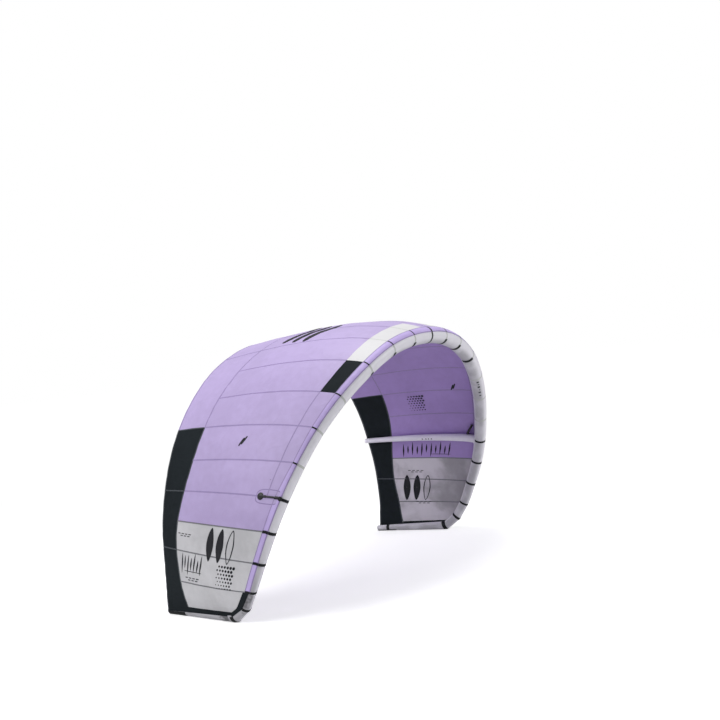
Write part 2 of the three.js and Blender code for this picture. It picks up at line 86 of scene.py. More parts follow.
def unit(vector):
    return vector / np.linalg.norm(vector, axis=-1, keepdims=True)


def flip(points):
    return points * (-1, 1, 1)


def smooth(a, b, c, d, t):  # a smooth curve from b to c, with a before it and d after it
    bend, twist = 2 * a - 5 * b + 4 * c - d, 3 * b - a - 3 * c + d
    return 0.5 * (2 * b + (c - a) * t + bend * t * t + twist * t ** 3)


def aroundAxis(first, second, reach, turn):  # offsets round an axis, from two directions across it
    return first * (reach * np.cos(turn))[..., None] + second * (reach * np.sin(turn))[..., None]


def lineThrough(columns, mirrored):
    wing = jointTable[:, columns]
    points = np.concatenate([wing[:0:-1] * mirrored, wing])
    first, last = 2 * points[0] - points[1], 2 * points[-1] - points[-2]
    return np.concatenate([[first], points, [last]])


edgeTable = lineThrough([0, 1, 2], (-1, 1, 1))
tailTable = lineThrough([4, 5, 6], (-1, 1, 1))
sizeTable = lineThrough([3, 7], (1, 1))


def along(table, s):  # a smooth line through the joints
    place = min(max(s + corner, 0), 2 * corner)
    k = min(int(place), 2 * corner - 1)
    return smooth(*table[k:k + 4], place - k)


def blend(values, s):
    middle, wing, until = values
    return middle + (wing - middle) * min(abs(s) / until, 1)


def leaveAngle(s):
    past = min(max(abs(s) - lastGore, 0) / (corner - lastGore), 1)
    return blend(shape["leave"], s) + (shape["tip"][0] - shape["leave"][1]) * past


def frontAngle(s):
    return leaveAngle(s) + shape["tip"][1] if abs(s) > lastGore else blend(shape["front"], s)


def makeStations():  # the rings of the solid tube, from the middle to one wingtip
    places = [0.5 * k for k in range(2 * lastGore + 1)] + [corner - 1, corner, tubeEnd]
    tipX, tipY, tipRadius = shape["tipEnd"]
    made = []
    for s in places:
        if s < corner:
            centre, radius = along(edgeTable, s), along(sizeTable, s)[0]
        elif s == corner:
            x, y, _, radius = jointTable[corner][:4]
            centre = np.array([x, y, radius * apothem])
        else:
            centre, radius = np.array([tipX, tipY, tipRadius * apothem]), tipRadius
        made.append({"s": s, "centre": centre, "radius": radius})
    for here, after in zip(made, made[1:]):
        direction = after["centre"] - here["centre"]
        if here["s"] == corner:
            direction[2] = 0
            toCloth = np.array([0, 0, 1.0])
        else:
            middle = (here["s"] + after["s"]) / 2
            toCloth = along(tailTable, middle) - along(edgeTable, middle)
        direction = unit(direction)
        toCloth = unit(toCloth - direction * (toCloth @ direction))
        here.update(along=direction, toCloth=toCloth, outward=np.cross(direction, toCloth))
    for key in ("along", "toCloth", "outward"):
        made[-1][key] = made[-2][key]
    before = -flip(made[0]["along"])
    for station in made:
        station["mitre"] = unit(before + station["along"])
        before = station["along"]
    return made


stations = makeStations()


def ringPoint(index, angle, lift):
    if index < 0:
        return flip(ringPoint(-index, angle, lift))
    ring = stations[index]
    offset = aroundAxis(ring["toCloth"], ring["outward"], ring["radius"] + lift, np.radians(angle))
    slide = -(offset @ ring["mitre"]) / (ring["along"] @ ring["mitre"])
    return ring["centre"] + offset + ring["along"] * slide[..., None]


def straightTube(s, angle, lift):  # from joint 10 on, the tube is straight between its bends
    last = len(stations) - 1
    low = last - 1 if s >= corner else last - 2 if s >= corner - 1 else last - 3
    part = (s - stations[low]["s"]) / (stations[low + 1]["s"] - stations[low]["s"])
    return ringPoint(low, angle, lift) * (1 - part) + ringPoint(low + 1, angle, lift) * part


# A point on the tube. Angles run from 0 at the tail to 90 outwards, 180 to the wind and 270 inwards.
def tubePoint(s, angle, lift=0.0):
    if s < 0:
        return flip(tubePoint(-s, angle, lift))
    angle, lift = np.broadcast_arrays(np.asarray(angle, float), np.asarray(lift, float))
    if s > lastGore:
        reach = shape["cornerRound"]
        for bend in (corner - 1, corner):
            t = (s - bend + reach) / (2 * reach)
            if 0 < t < 1:
                a, b, c = (straightTube(bend + x, angle, lift) for x in (-reach, 0, reach))
                return a * (1 - t) ** 2 + 2 * b * t * (1 - t) + c * t * t
        return straightTube(s, angle, lift)
    last = 2 * lastGore - 1
    k = min(int(2 * s), last)
    a, b, c = (ringPoint(k + x, angle, lift) for x in (-1, 0, 1))
    d = straightTube(lastGore + 0.5, angle, lift) if k == last else ringPoint(k + 2, angle, lift)
    return smooth(a, b, c, d, 2 * s - k)


chords = {}


def chordAt(s):  # the camber line's four control points, the way out of it and its length
    s = min(s, corner)
    key = round(s, 6)
    if key in chords:
        return chords[key]
    start = tubePoint(s, leaveAngle(s), shape["tubeGap"])
    end = along(tailTable, s) if s < corner else tubePoint(tubeEnd, shape["tip"][0], shape["tubeGap"])
    chord = end - start
    length = np.linalg.norm(chord)
    nudge = shape["nudge"]
    span = along(edgeTable, min(s + nudge, corner)) - along(edgeTable, min(s, corner - nudge))
    outward = unit(np.cross(span, chord))
    fade = min(1, (corner - s) / (corner - lastGore))
    direction, reach = chord / length, shape["handle"] * length
    first, last = math.radians(blend(shape["rise"], s) * fade), math.radians(shape["fall"] * fade)
    second = start + direction * reach * math.cos(first) + outward * reach * math.sin(first)
    third = end - direction * reach * math.cos(last) + outward * reach * math.sin(last)
    chords[key] = (start, second, third, end, outward, length)
    return chords[key]


def camber(s, v):  # points of the plain camber line and the directions out of it
    start, second, third, end, outward, _ = chordAt(s)
    v = np.asarray(v, float)[..., None]
    w = 1 - v
    points = start * w ** 3 + 3 * second * v * w * w + 3 * third * v * v * w + end * v ** 3
    tangent = unit((second - start) * w * w + 2 * (third - second) * v * w + (end - third) * v * v)
    return points, unit(outward - tangent * (tangent @ outward)[..., None])


def depthToU(s, depth):
    return depth / chordAt(abs(s))[5]


def stripLine(s):
    low, high, start = shape["stripDepth"]
    return depthToU(s, low + (high - low) * min(max(abs(s) - start, 0), 1))


def rowLine(s):
    depth, loss = shape["rowDepth"]
    return depthToU(s, depth - loss * abs(s))


def bandLine(s):
    return 1 - depthToU(s, along(sizeTable, min(abs(s), corner))[1])


def borderLine(s):
    return depthToU(s, shape["tipBorder"])


bandCuts = [-2, 2, 5, 7, 9, 13]
swell = {"gore": 0.0045, "tip": 0.7, "band": 0.6, "sway": 0.0012, "swayRise": 8}


def pillow(s, u):  # each panel swells a little between its seams
    band = bandLine(s)
    low = next(cut for cut in reversed(bandCuts) if cut <= s)
    high = bandCuts[bandCuts.index(low) + 1]
    start = rowLine(s) if s < blackEnd else stripLine(s)
    acrossGore = abs(math.sin(math.pi * s))
    if s >= lastGore:
        acrossGore = math.sin(math.pi * min((s - lastGore) / 2, 1)) * swell["tip"]
    acrossBand = abs(math.sin(math.pi * (s - low) / (high - low)))
    t = np.clip((u - start) / (band - start), 0, 1)
    rear = np.clip((u - band) / (1 - band), 0, 1)
    lift = swell["gore"] * acrossGore * (1 - np.abs(2 * t - 1) ** 3)
    bandShape = np.sin(np.clip(rear * 1.15, 0, 1) * math.pi * 0.75)  # full behind its middle
    lift = lift + swell["band"] * swell["gore"] * acrossBand * bandShape
    sway = np.sin(7.3 * s + 11 * u) * np.sin(3.1 * s - 17 * u + 1)  # waves that never quite repeat
    sway = sway + 0.5 * np.sin(16 * s + 5 * u) * np.sin(29 * u + 2)
    return lift + swell["sway"] * sway * np.clip(u * swell["swayRise"], 0, 1) * min(1, max(0, corner - s))


# The sewn cloth: s counts joints, negative on the left wing; u is -1 at the front seam, 0 where the
# cloth leaves the tube and 1 at the trailing edge; past the corner joint the cloth lies on the tube.
def canopy(s, u, lift=0.0):
    if s < 0:
        return flip(canopy(-s, u, lift))
    u, lift = np.broadcast_arrays(np.asarray(u, float), np.asarray(lift, float))
    raised = shape["tubeGap"] + lift
    if s > corner:
        handle = shape["handle"]
        share = 3 * (1 - u) ** 2 * u * handle + 3 * (1 - u) * u * u * (1 - handle) + u ** 3
        angle = shape["tip"][0] + (shape["tip"][2] - shape["tip"][0]) * (s - corner)
        a, b = (tubePoint(end, np.full(u.shape, angle), raised) for end in (corner, tubeEnd))
        return a + (b - a) * share[..., None]
    leave = leaveAngle(s)
    onTube = tubePoint(s, leave - u * (frontAngle(s) - leave), raised)
    points, normal = camber(s, np.clip(u, 0, shape["overrun"]))
    free = points + normal * (lift + pillow(s, np.clip(u, 0, 1)))[..., None]
    return np.where((u < 0)[..., None], onTube, free)


def jointStep(s):  # metres along the leading tube for one joint
    step = 0.05
    here = min(abs(s), corner - step)
    return np.linalg.norm(along(edgeTable, here + step) - along(edgeTable, here - step)) / (2 * step)


# Meshes from grids of points
def solidGrid(outer, inner, keep=None, wrapped=False):  # faces are marked 0 outside, 1 inside, 2 at edges
    rows, columns = outer.shape[:2]
    count = rows * columns
    points = np.concatenate([outer.reshape(-1, 3), inner.reshape(-1, 3)])
    cells = np.ones((rows - 1, columns if wrapped else columns - 1), bool)
    if keep is not None:
        cells = np.array([[keep(r, c) for c in range(cells.shape[1])] for r in range(rows - 1)])
    lastRow, lastColumn = cells.shape[0] - 1, cells.shape[1] - 1
    faces, kinds = [], []
    for r, c in zip(*np.nonzero(cells)):
        a, e = r * columns + c, r * columns + (c + 1) % columns
        b, d = a + columns, e + columns
        faces += [(a, b, d, e), (a + count, e + count, d + count, b + count)]
        kinds += [0, 1]
        sides = [(r > 0 and cells[r - 1, c], (a, e)), (r < lastRow and cells[r + 1, c], (d, b))]
        if not wrapped:
            sides.append((c > 0 and cells[r, c - 1], (b, a)))
            sides.append((c < lastColumn and cells[r, c + 1], (e, d)))
        for joined, (p, q) in sides:
            if not joined:
                faces.append((p, q, q + count, p + count))
                kinds.append(2)
    return points, faces, kinds


def gridSteps(grid):  # distances between neighbours, first along the rows' order, then within a row
    return [np.linalg.norm(np.diff(grid, axis=axis), axis=2) for axis in (0, 1)]


def gridSizes(grid, keep=None):  # width along s, length along u and area of a grid of points
    alongS, alongU = gridSteps(grid)
    diagonals = np.cross(grid[1:, 1:] - grid[:-1, :-1], grid[1:, :-1] - grid[:-1, 1:])
    areas = np.linalg.norm(diagonals, axis=2) / 2
    if keep is not None:
        areas = areas[np.array([[keep(r, c) for c in range(areas.shape[1])] for r in range(areas.shape[0])])]
    return alongS.sum(0).max(), alongU.sum(1).max(), areas.sum()


def gridUv(grid):  # metres along the cloth, so that every weave has its real size
    alongS, alongU = gridSteps(grid)
    middle = grid.shape[0] // 2
    v = np.concatenate([[0], np.cumsum(alongU[middle])])
    u = np.concatenate([np.zeros((1, grid.shape[1])), np.cumsum(alongS, axis=0)])
    u = u - u[middle]
    return np.stack([u, np.broadcast_to(v, u.shape)], axis=2).reshape(-1, 2)


def gridPart(outer, inner, uv=None):
    points, faces, _ = solidGrid(outer, inner)
    uv = gridUv(outer) if uv is None else uv
    return points, faces, np.concatenate([uv, uv])


def closedTube(grid, inward=False):  # rings joined side by side, with a flat face at each end
    rows, columns = grid.shape[:2]
    faces = []
    for r in range(rows - 1):
        for c in range(columns):
            a, b = r * columns + c, r * columns + (c + 1) % columns
            faces.append((a, a + columns, b + columns, b) if inward else (a, b, b + columns, a + columns))
    first, last = range(columns), range((rows - 1) * columns, rows * columns)
    faces += [tuple(first), tuple(last[::-1])] if inward else [tuple(first[::-1]), tuple(last)]
    return grid.reshape(-1, 3), faces, gridUv(grid)


def twoFaces(row, places, lifts):  # grids of the outer and the inner face, made row by row
    return [np.array([row(place, lift) for place in places]) for lift in lifts[::-1]]


def threeAcross(place, width):
    return place - width / 2, place, place + width / 2


def turnInside(part):
    points, faces, uv = part
    return points, [tuple(reversed(face)) for face in faces], uv


def turnOver(part):  # the same part on the other wing
    points, faces, uv = turnInside(part)
    return flip(points), faces, uv


def joinParts(parts):
    faces, start = [], 0
    for points, partFaces, _ in parts:
        faces += [tuple(index + start for index in face) for face in partFaces]
        start += len(points)
    return np.concatenate([part[0] for part in parts]), faces, np.concatenate([part[2] for part in parts])


def newObject(name, data):
    made = bpy.data.objects.new(name, data)
    bpy.context.scene.collection.objects.link(made)
    return made


def addPiece(name, part, materials, nodes=(), sharp=35, kinds=None):
    points, faces, uv = part
    mesh = bpy.data.meshes.new(name)
    mesh.from_pydata((np.asarray(points) - (0, shape["middleY"], 0)).tolist(), [], faces)
    for material in materials:
        mesh.materials.append(paint[material])
    if kinds is not None:
        mesh.polygons.foreach_set("material_index", [min(kind, len(materials) - 1) for kind in kinds])
    layer = mesh.uv_layers.new(name="cloth")
    corners = np.zeros(len(mesh.loops), np.int32)
    mesh.loops.foreach_get("vertex_index", corners)
    layer.data.foreach_set("uv", np.asarray(uv, np.float32)[corners].ravel())
    mesh.shade_smooth()
    mesh.set_sharp_from_angle(angle=math.radians(sharp))
    mesh.update()
    piece = newObject(name, mesh)
    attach(piece, "root")
    if nodes:
        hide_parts(*nodes)
    return piece


# Shader helpers
def node(tree, kind, inputs=None, **settings):
    made = tree.nodes.new("ShaderNode" + kind)
    for key, value in settings.items():
        setattr(made, key, value)
    fill(tree, made.inputs, inputs or {})
    return made


def fill(tree, sockets, values):
    for key, value in values.items():
        if isinstance(value, bpy.types.NodeSocket):
            tree.links.new(value, sockets[key])
        else:
            sockets[key].default_value = value


def calc(tree, operation, *values):
    return node(tree, "Math", dict(enumerate(values)), operation=operation).outputs[0]


def times(tree, first, *others):
    for value in others:
        first = calc(tree, "MULTIPLY", first, value)
    return first


def ramp(tree, value, low, high, lowOut=0.0, highOut=1.0):
    limits = {"Value": value, "From Min": low, "From Max": high, "To Min": lowOut, "To Max": highOut}
    return node(tree, "MapRange", limits, interpolation_type="SMOOTHSTEP").outputs[0]


def noise(tree, place, scale, detail, roughness=0.5):
    inputs = {"Vector": place, "Scale": scale, "Detail": detail, "Roughness": roughness}
    return node(tree, "TexNoise", inputs).outputs


def mixColor(tree, share, low, high):
    return node(tree, "Mix", {0: share, 6: low, 7: high}, data_type="RGBA").outputs[2]


def newGroup(name, inputs, outputs):
    tree = bpy.data.node_groups.new(name, "ShaderNodeTree")
    for label, kind, value in inputs:
        socket = tree.interface.new_socket(label, in_out="INPUT", socket_type="NodeSocket" + kind)
        if value is not None:
            socket.default_value = value
    for label, kind in outputs:
        tree.interface.new_socket(label, in_out="OUTPUT", socket_type="NodeSocket" + kind)
    return tree, tree.nodes.new("NodeGroupInput").outputs, tree.nodes.new("NodeGroupOutput").inputs


def useGroup(tree, group, inputs):
    made = tree.nodes.new("ShaderNodeGroup")
    made.node_tree = group
    fill(tree, made.inputs, inputs)
    return made.outputs


def linear(color):
    return tuple((c / 12.92 if c <= 0.04045 else ((c + 0.055) / 1.055) ** 2.4) for c in color) + (1.0,)


# Effects that the cloths share
def makeWeave():  # a fine plain weave with thicker threads every few millimetres
    tree, given, out = newGroup("ripstopWeave", [("Cloth", "Vector", None), ("Pitch", "Float", 0.005)],
                                [("Height", "Float"), ("Threads", "Float")])
    axes = node(tree, "SeparateXYZ", {0: given["Cloth"]}).outputs
    threadsPerSquare = 7
    lines, waves = [], []
    for axis in axes[:2]:
        place = calc(tree, "DIVIDE", axis, given["Pitch"])
        lines.append(ramp(tree, calc(tree, "PINGPONG", place, 0.5), 0.04, 0.12, 1, 0))
        waves.append(calc(tree, "SINE", times(tree, place, 2 * math.pi * threadsPerSquare)))
    threads = calc(tree, "MAXIMUM", *lines)
    fine = times(tree, *waves, 0.25)
    tree.links.new(calc(tree, "ADD", threads, fine), out["Height"])
    tree.links.new(threads, out["Threads"])
    return tree


def makeTone():  # soft patches and streaks, as on cloth that has been packed and used
    tree, given, out = newGroup("clothTone", [("Place", "Vector", None), ("Color", "Color", (1, 1, 1, 1)),
                                              ("Amount", "Float", 0.1)], [("Color", "Color")])
    wide = noise(tree, given["Place"], 2.1, 3)[0]
    small = noise(tree, given["Place"], 17, 4, 0.6)[0]
    mixed = calc(tree, "ADD", times(tree, wide, 0.62), times(tree, small, 0.38))
    share = ramp(tree, mixed, 0.36, 0.64, -1, 1)
    factor = calc(tree, "ADD", times(tree, share, given["Amount"]), 1.0)
    scaled = node(tree, "VectorMath", {0: given["Color"], "Scale": factor}, operation="SCALE").outputs[0]
    tree.links.new(scaled, out["Color"])
    return tree


def bentPlace(tree, place, scale, amount):  # a place pushed about by a slow noise
    inputs = {0: noise(tree, place, scale, 2)[1], 1: (amount, amount, amount), 2: place}
    return node(tree, "VectorMath", inputs, operation="MULTIPLY_ADD").outputs[0]


def makeCreases():  # packing creases and small puckers, as a height in millimetres
    tree, given, out = newGroup("creases", [("Place", "Vector", None), ("Scale", "Float", 5.0)],
                                [("Height", "Float")])
    inputs = {"Vector": bentPlace(tree, given["Place"], 2.4, 0.35), "Scale": given["Scale"]}
    folds = node(tree, "TexVoronoi", inputs, feature="DISTANCE_TO_EDGE").outputs[0]
    crease = times(tree, ramp(tree, folds, 0.0, 0.09, 1, 0), 0.4)
    soft = times(tree, noise(tree, given["Place"], 9, 3)[0], 1.1)
    tree.links.new(calc(tree, "ADD", crease, soft), out["Height"])
    return tree


def makeStitches():  # a zigzag of thread along a tape, which lies from 0 to Width across
    tree, given, out = newGroup("zigzagStitch", [("Cloth", "Vector", None), ("Width", "Float", 0.02),
                                                 ("Pitch", "Float", 0.006)], [("Mask", "Float")])
    axes = node(tree, "SeparateXYZ", {0: given["Cloth"]}).outputs
    steps = calc(tree, "PINGPONG", calc(tree, "DIVIDE", axes[1], given["Pitch"]), 1.0)
    swing = times(tree, calc(tree, "SUBTRACT", steps, 0.5), 0.0035)
    masks = []
    for share in (0.22, 0.78):
        path = calc(tree, "ADD", times(tree, given["Width"], share), swing)
        away = calc(tree, "ABSOLUTE", calc(tree, "SUBTRACT", axes[0], path))
        masks.append(ramp(tree, away, 0.0003, 0.0008, 1, 0))
    tree.links.new(calc(tree, "MAXIMUM", *masks), out["Mask"])
    return tree


def makeClouds():  # soft grey clouds
    tree, given, out = newGroup("softClouds", [("Place", "Vector", None), ("Scale", "Float", 2.5)],
                                [("Mask", "Float")])
    cloud = noise(tree, bentPlace(tree, given["Place"], 1.6, 0.5), given["Scale"], 5, 0.55)[0]
    tree.links.new(ramp(tree, cloud, 0.4, 0.66), out["Mask"])
    return tree


weaveGroup, toneGroup, creaseGroup = makeWeave(), makeTone(), makeCreases()
stitchGroup, cloudGroup = makeStitches(), makeClouds()


def newMaterial(name):
    material = bpy.data.materials.new(name)
    material.use_nodes = True
    tree = material.node_tree
    coordinates = node(tree, "TexCoord").outputs
    return material, tree, tree.nodes["Principled BSDF"], coordinates["Object"], coordinates["UV"]


def cloudShare(tree, clouds, place, cloth):
    share = useGroup(tree, cloudGroup, {"Place": place, "Scale": clouds["scale"]})["Mask"]
    if "below" in clouds:  # on the tube they keep to the outer side of its lower ends, over a grey wash
        height = node(tree, "SeparateXYZ", {0: place}).outputs[2]
        around = node(tree, "SeparateXYZ", {0: cloth}).outputs[1]
        low, outer = ramp(tree, height, *clouds["below"], 1, 0), ramp(tree, around, *clouds["side"], 0.15, 1)
        share = times(tree, calc(tree, "MAXIMUM", share, clouds["wash"]), low, outer)
    return times(tree, share, clouds["share"])


def paintedShadeShare(tree, paintedShade, place, cloth):  # painted shade: a soft dark stretch along the tube's inner side, where less light falls
    around = node(tree, "SeparateXYZ", {0: cloth}).outputs[1]
    rising, falling = ramp(tree, around, *paintedShade["from"]), ramp(tree, around, *paintedShade["to"], 1, 0)
    patchy = ramp(tree, noise(tree, place, 6, 4)[0], 0.3, 0.6, 0.35, 1)
    return times(tree, rising, falling, patchy, paintedShade["share"])


# One sailcloth: its colour, how rough it is, how strongly the weave, the creases and the patches show,
# its sheen and gloss, and clouds, thread or painted shade of a second colour.
def clothMaterial(name, color, rough=0.5, weave=0.25, creases=0.35, tone=0.05, sheen=0.04, gloss=0.3,
                  clouds=None, thread=None, paintedShade=None):
    material, tree, shader, place, cloth = newMaterial(name)
    base = linear(color)
    if clouds:
        base = mixColor(tree, cloudShare(tree, clouds, place, cloth), base, linear(clouds["color"]))
    color = useGroup(tree, toneGroup, {"Place": place, "Color": base, "Amount": tone})["Color"]
    woven = useGroup(tree, weaveGroup, {"Cloth": cloth, "Pitch": 0.005})
    color = mixColor(tree, times(tree, woven["Threads"], 0.07), color, (0.02, 0.02, 0.02, 1))
    # painted shade: a dark colour mixed in where the tube gets less light
    if paintedShade:
        color = mixColor(tree, paintedShadeShare(tree, paintedShade, place, cloth), color, paintedShade["color"])
    if thread:
        mask = useGroup(tree, stitchGroup, {"Cloth": cloth, "Width": tapeWidth})["Mask"]
        color = mixColor(tree, times(tree, mask, 0.85), color, linear(thread))
    tree.links.new(color, shader.inputs["Base Color"])
    shader.inputs["Roughness"].default_value = rough
    shader.inputs["Specular IOR Level"].default_value = gloss
    shader.inputs["Sheen Weight"].default_value = sheen
    shader.inputs["Sheen Roughness"].default_value = 0.4
    folds = useGroup(tree, creaseGroup, {"Place": place, "Scale": 4.5})["Height"]
    soft = node(tree, "Bump", {"Strength": creases, "Distance": 0.006, "Height": folds}).outputs[0]
    fine = {"Strength": weave, "Distance": 0.0004, "Height": woven["Height"], "Normal": soft}
    tree.links.new(node(tree, "Bump", fine).outputs[0], shader.inputs["Normal"])
    return material


def rubberMaterial(name, color, rough):
    material, tree, shader, place, _ = newMaterial(name)
    color = useGroup(tree, toneGroup, {"Place": place, "Color": linear(color), "Amount": 0.12})["Color"]
    tree.links.new(color, shader.inputs["Base Color"])
    worn = ramp(tree, noise(tree, place, 40, 3)[0], 0.3, 0.7, rough - 0.08, rough + 0.1)
    tree.links.new(worn, shader.inputs["Roughness"])
    grain = {"Strength": 0.2, "Distance": 0.0003, "Height": noise(tree, place, 900, 2)[0]}
    tree.links.new(node(tree, "Bump", grain).outputs[0], shader.inputs["Normal"])
    return material


tapeWidth = 0.016
tubeClouds = {"scale": 7, "share": 0.9, "color": (0.26, 0.26, 0.27), "below": (0.22, 0.62),
              "side": (0.19, 0.235), "wash": 0.5}
# painted shade along the tube's inner side, a dark colour standing in for the shade there
tubePaintedShade = {"from": (0.03, 0.08), "to": (0.13, 0.185), "share": 0.45, "color": (0.12, 0.12, 0.13, 1)}
paint = {
    "lilac": clothMaterial("lilacSailcloth", (0.695, 0.63, 0.80)),
    # the lilac's inner face is a darker, more saturated copy: painted shade under the canopy, with painted
    # light shining through the cloth
    "lilacInsidePaintedShade": clothMaterial("lilacSailclothInsidePaintedShade", (0.66, 0.56, 0.80), rough=0.6),
    "grey": clothMaterial("greySailcloth", (0.765, 0.76, 0.775),
                          clouds={"scale": 3.2, "share": 0.24, "color": (0.46, 0.46, 0.47)}),
    "greyInside": clothMaterial("greySailclothInside", (0.81, 0.79, 0.825), rough=0.6,
                                clouds={"scale": 2.6, "share": 0.55, "color": (0.36, 0.36, 0.37)}),
    "white": clothMaterial("whiteSailcloth", (0.825, 0.82, 0.825), tone=0.025),
    "black": clothMaterial("blackSailcloth", (0.115, 0.135, 0.15), rough=0.75, tone=0.1, sheen=0.0,
                           gloss=0.07),
    "strip": clothMaterial("paleStrip", (0.74, 0.665, 0.87)),
    "tube": clothMaterial("tubeSailcloth", (0.885, 0.875, 0.905), rough=0.42, creases=0.3, tone=0.02,
                          clouds=tubeClouds, paintedShade=tubePaintedShade),
    "strut": clothMaterial("strutSailcloth", (0.92, 0.905, 0.95), rough=0.42, creases=0.22, tone=0.03),
    "tapeLilac": clothMaterial("violetTape", (0.555, 0.49, 0.675), rough=0.55, creases=0.15,
                               thread=(0.74, 0.70, 0.82)),
    "tapeGrey": clothMaterial("greyTape", (0.42, 0.42, 0.44), rough=0.55, creases=0.15,
                              thread=(0.66, 0.66, 0.68)),
    "tapeBlack": clothMaterial("charcoalTape", (0.25, 0.265, 0.285), creases=0.15, sheen=0.0, gloss=0.2,
                               thread=(0.38, 0.4, 0.42)),
    "tapeTube": clothMaterial("paleTape", (0.77, 0.775, 0.765), creases=0.1, thread=(0.60, 0.61, 0.60)),
    "band": clothMaterial("bandCloth", (0.07, 0.08, 0.09), creases=0.15, sheen=0.0, gloss=0.18,
                          thread=(0.2, 0.21, 0.22)),
    "printDark": clothMaterial("darkInk", (0.12, 0.12, 0.14), creases=0.3, sheen=0.0, gloss=0.2),
    "rubber": rubberMaterial("hoseRubber", (0.06, 0.065, 0.07), 0.5),
}
print("materials made")

# The leading tube, one inflated piece from wingtip to wingtip
tube = {"columns": 48, "wingStep": 0.1, "tipStep": 0.05, "pastCorner": 0.3, "lastRings": 14, "sharp": 60,
        "pinch": 0.0022, "domeLength": 0.012,  # metres that the seams draw it in, and of its rounded ends
        "domeRings": ((0.5, 0.93), (0.8, 0.75), (1.0, 0.45), (1.06, 0.2))}  # how far out, and how wide


def tubePlaces():
    past = corner + tube["pastCorner"]
    wing, tip = np.arange(0, lastGore, tube["wingStep"]), np.arange(lastGore, past, tube["tipStep"])
    return [*wing, *tip, *np.linspace(past, tubeEnd, tube["lastRings"])]


def tubeSwell(s):
    return -tube["pinch"] * (1 - abs(math.sin(math.pi * s))) ** 4 if s < lastGore + 0.5 else 0.0


def tubeRing(s, lift=0.0, angles=None):
    angles = np.arange(tube["columns"]) * (-360 / tube["columns"]) if angles is None else angles
    ring = tubePoint(s, angles, lift + tubeSwell(abs(s)))
    ring[:, 2] = np.maximum(ring[:, 2], floorGap)
    return ring


def dome(ring, direction, length, rings):  # smaller and smaller rings that close a tube's end
    middle = ring.mean(0)
    return [middle + (ring - middle) * size + direction * reach * length for reach, size in rings]


def addLeadingTube():
    places, outward = tubePlaces(), stations[-1]["along"]
    grid = np.array([tubeRing(-s) for s in places[:0:-1]] + [tubeRing(s) for s in places])
    left = dome(grid[0], flip(outward), tube["domeLength"], tube["domeRings"])
    right = dome(grid[-1], outward, tube["domeLength"], tube["domeRings"])
    grid = np.concatenate([left[::-1], grid, right])
    grid[:, :, 2] = np.maximum(grid[:, :, 2], floorGap)
    nodes = ["edge_tube_middle"] + [f"edge_tube_{word}_{i}" for word in ("left", "right") for i in (1, 2, 3)]
    addPiece("leadingTube", closedTube(grid), ["tube"], nodes, tube["sharp"])


addLeadingTube()
print("leading tube made")

# Struts, round tubes with a saddle at the leading tube and a rounded rear end
strutSizes = {
    "strut_middle": {"joint": 0, "front": 0.042, "tail": 0.024, "drop": 0.038, "sign": 1},
    "strut_left": {"joint": 7, "front": 0.038, "tail": 0.022, "drop": 0.024, "sign": -1},
    "strut_right": {"joint": 7, "front": 0.038, "tail": 0.022, "drop": 0.024, "sign": 1},
}
strutStyle = {"columns": 32, "steps": 46, "clear": 0.001, "dropEnd": 0.17, "start": 0.02, "second": 0.075,
              "overhang": 0.012, "seatGap": 0.0006,
              "domeRings": ((0.4, 0.96), (0.75, 0.8), (0.95, 0.55), (1.0, 0.25))}
sideStrut = strutSizes["strut_right"]


def strutFrame(size):  # the middle of the leading tube, and the strut's own directions
    s = size["joint"]
    start, second, third, end, outward, _ = chordAt(s)
    edge = (tubePoint(s, [90])[0] + tubePoint(s, [270])[0]) / 2
    tangent = unit((second - start) * 0.25 + (third - second) * 0.5 + (end - third) * 0.25)
    across = unit(np.cross(outward, tangent))
    backward = unit(end - edge)
    return edge, across, backward, unit(np.cross(backward, across))


def strutRing(size, u, lift=0.0, angles=None):
    _, across, _, upward = strutFrame(size)
    angles = np.arange(strutStyle["columns"]) * 360 / strutStyle["columns"] if angles is None else angles
    radius = size["front"] + (size["tail"] - size["front"]) * u
    share = max(0, 1 - u / strutStyle["dropEnd"])
    point, normal = camber(size["joint"], u)
    centre = point - normal * (strutStyle["clear"] + size["drop"] * share * share) - upward * radius
    return centre + aroundAxis(upward, across, radius + lift, np.radians(angles))


def addStrut(name, size):
    edge, _, backward, _ = strutFrame(size)
    seat = along(sizeTable, size["joint"])[0] + strutStyle["seatGap"]
    k = 2 * size["joint"]
    before = stations[k - 1]["along"] if k else -flip(stations[0]["along"])
    first = strutRing(size, strutStyle["start"])
    slides = []
    for direction in (before, stations[k]["along"]):  # where the ring's lines meet the tube
        offset = first - edge
        aside = offset - direction * (offset @ direction)[:, None]
        path = backward - direction * (backward @ direction)
        a, b, c = path @ path, aside @ path, (aside * aside).sum(1) - seat * seat
        slides.append((-b + np.sqrt(np.maximum(0, b * b - a * c))) / a)
    rings = [first + backward * np.maximum(*slides)[:, None]]
    rings += [strutRing(size, u) for u in np.linspace(strutStyle["second"], 1, strutStyle["steps"])]
    rings += dome(rings[-1], backward, strutStyle["overhang"], strutStyle["domeRings"])
    grid = np.array(rings)
    if size["sign"] < 0:
        grid = flip(grid)[:, ::-1]
    addPiece(name.replace("_", "."), closedTube(grid, True), ["strut"], [name], tube["sharp"])


for name, size in strutSizes.items():
    addStrut(name, size)
print("struts made")

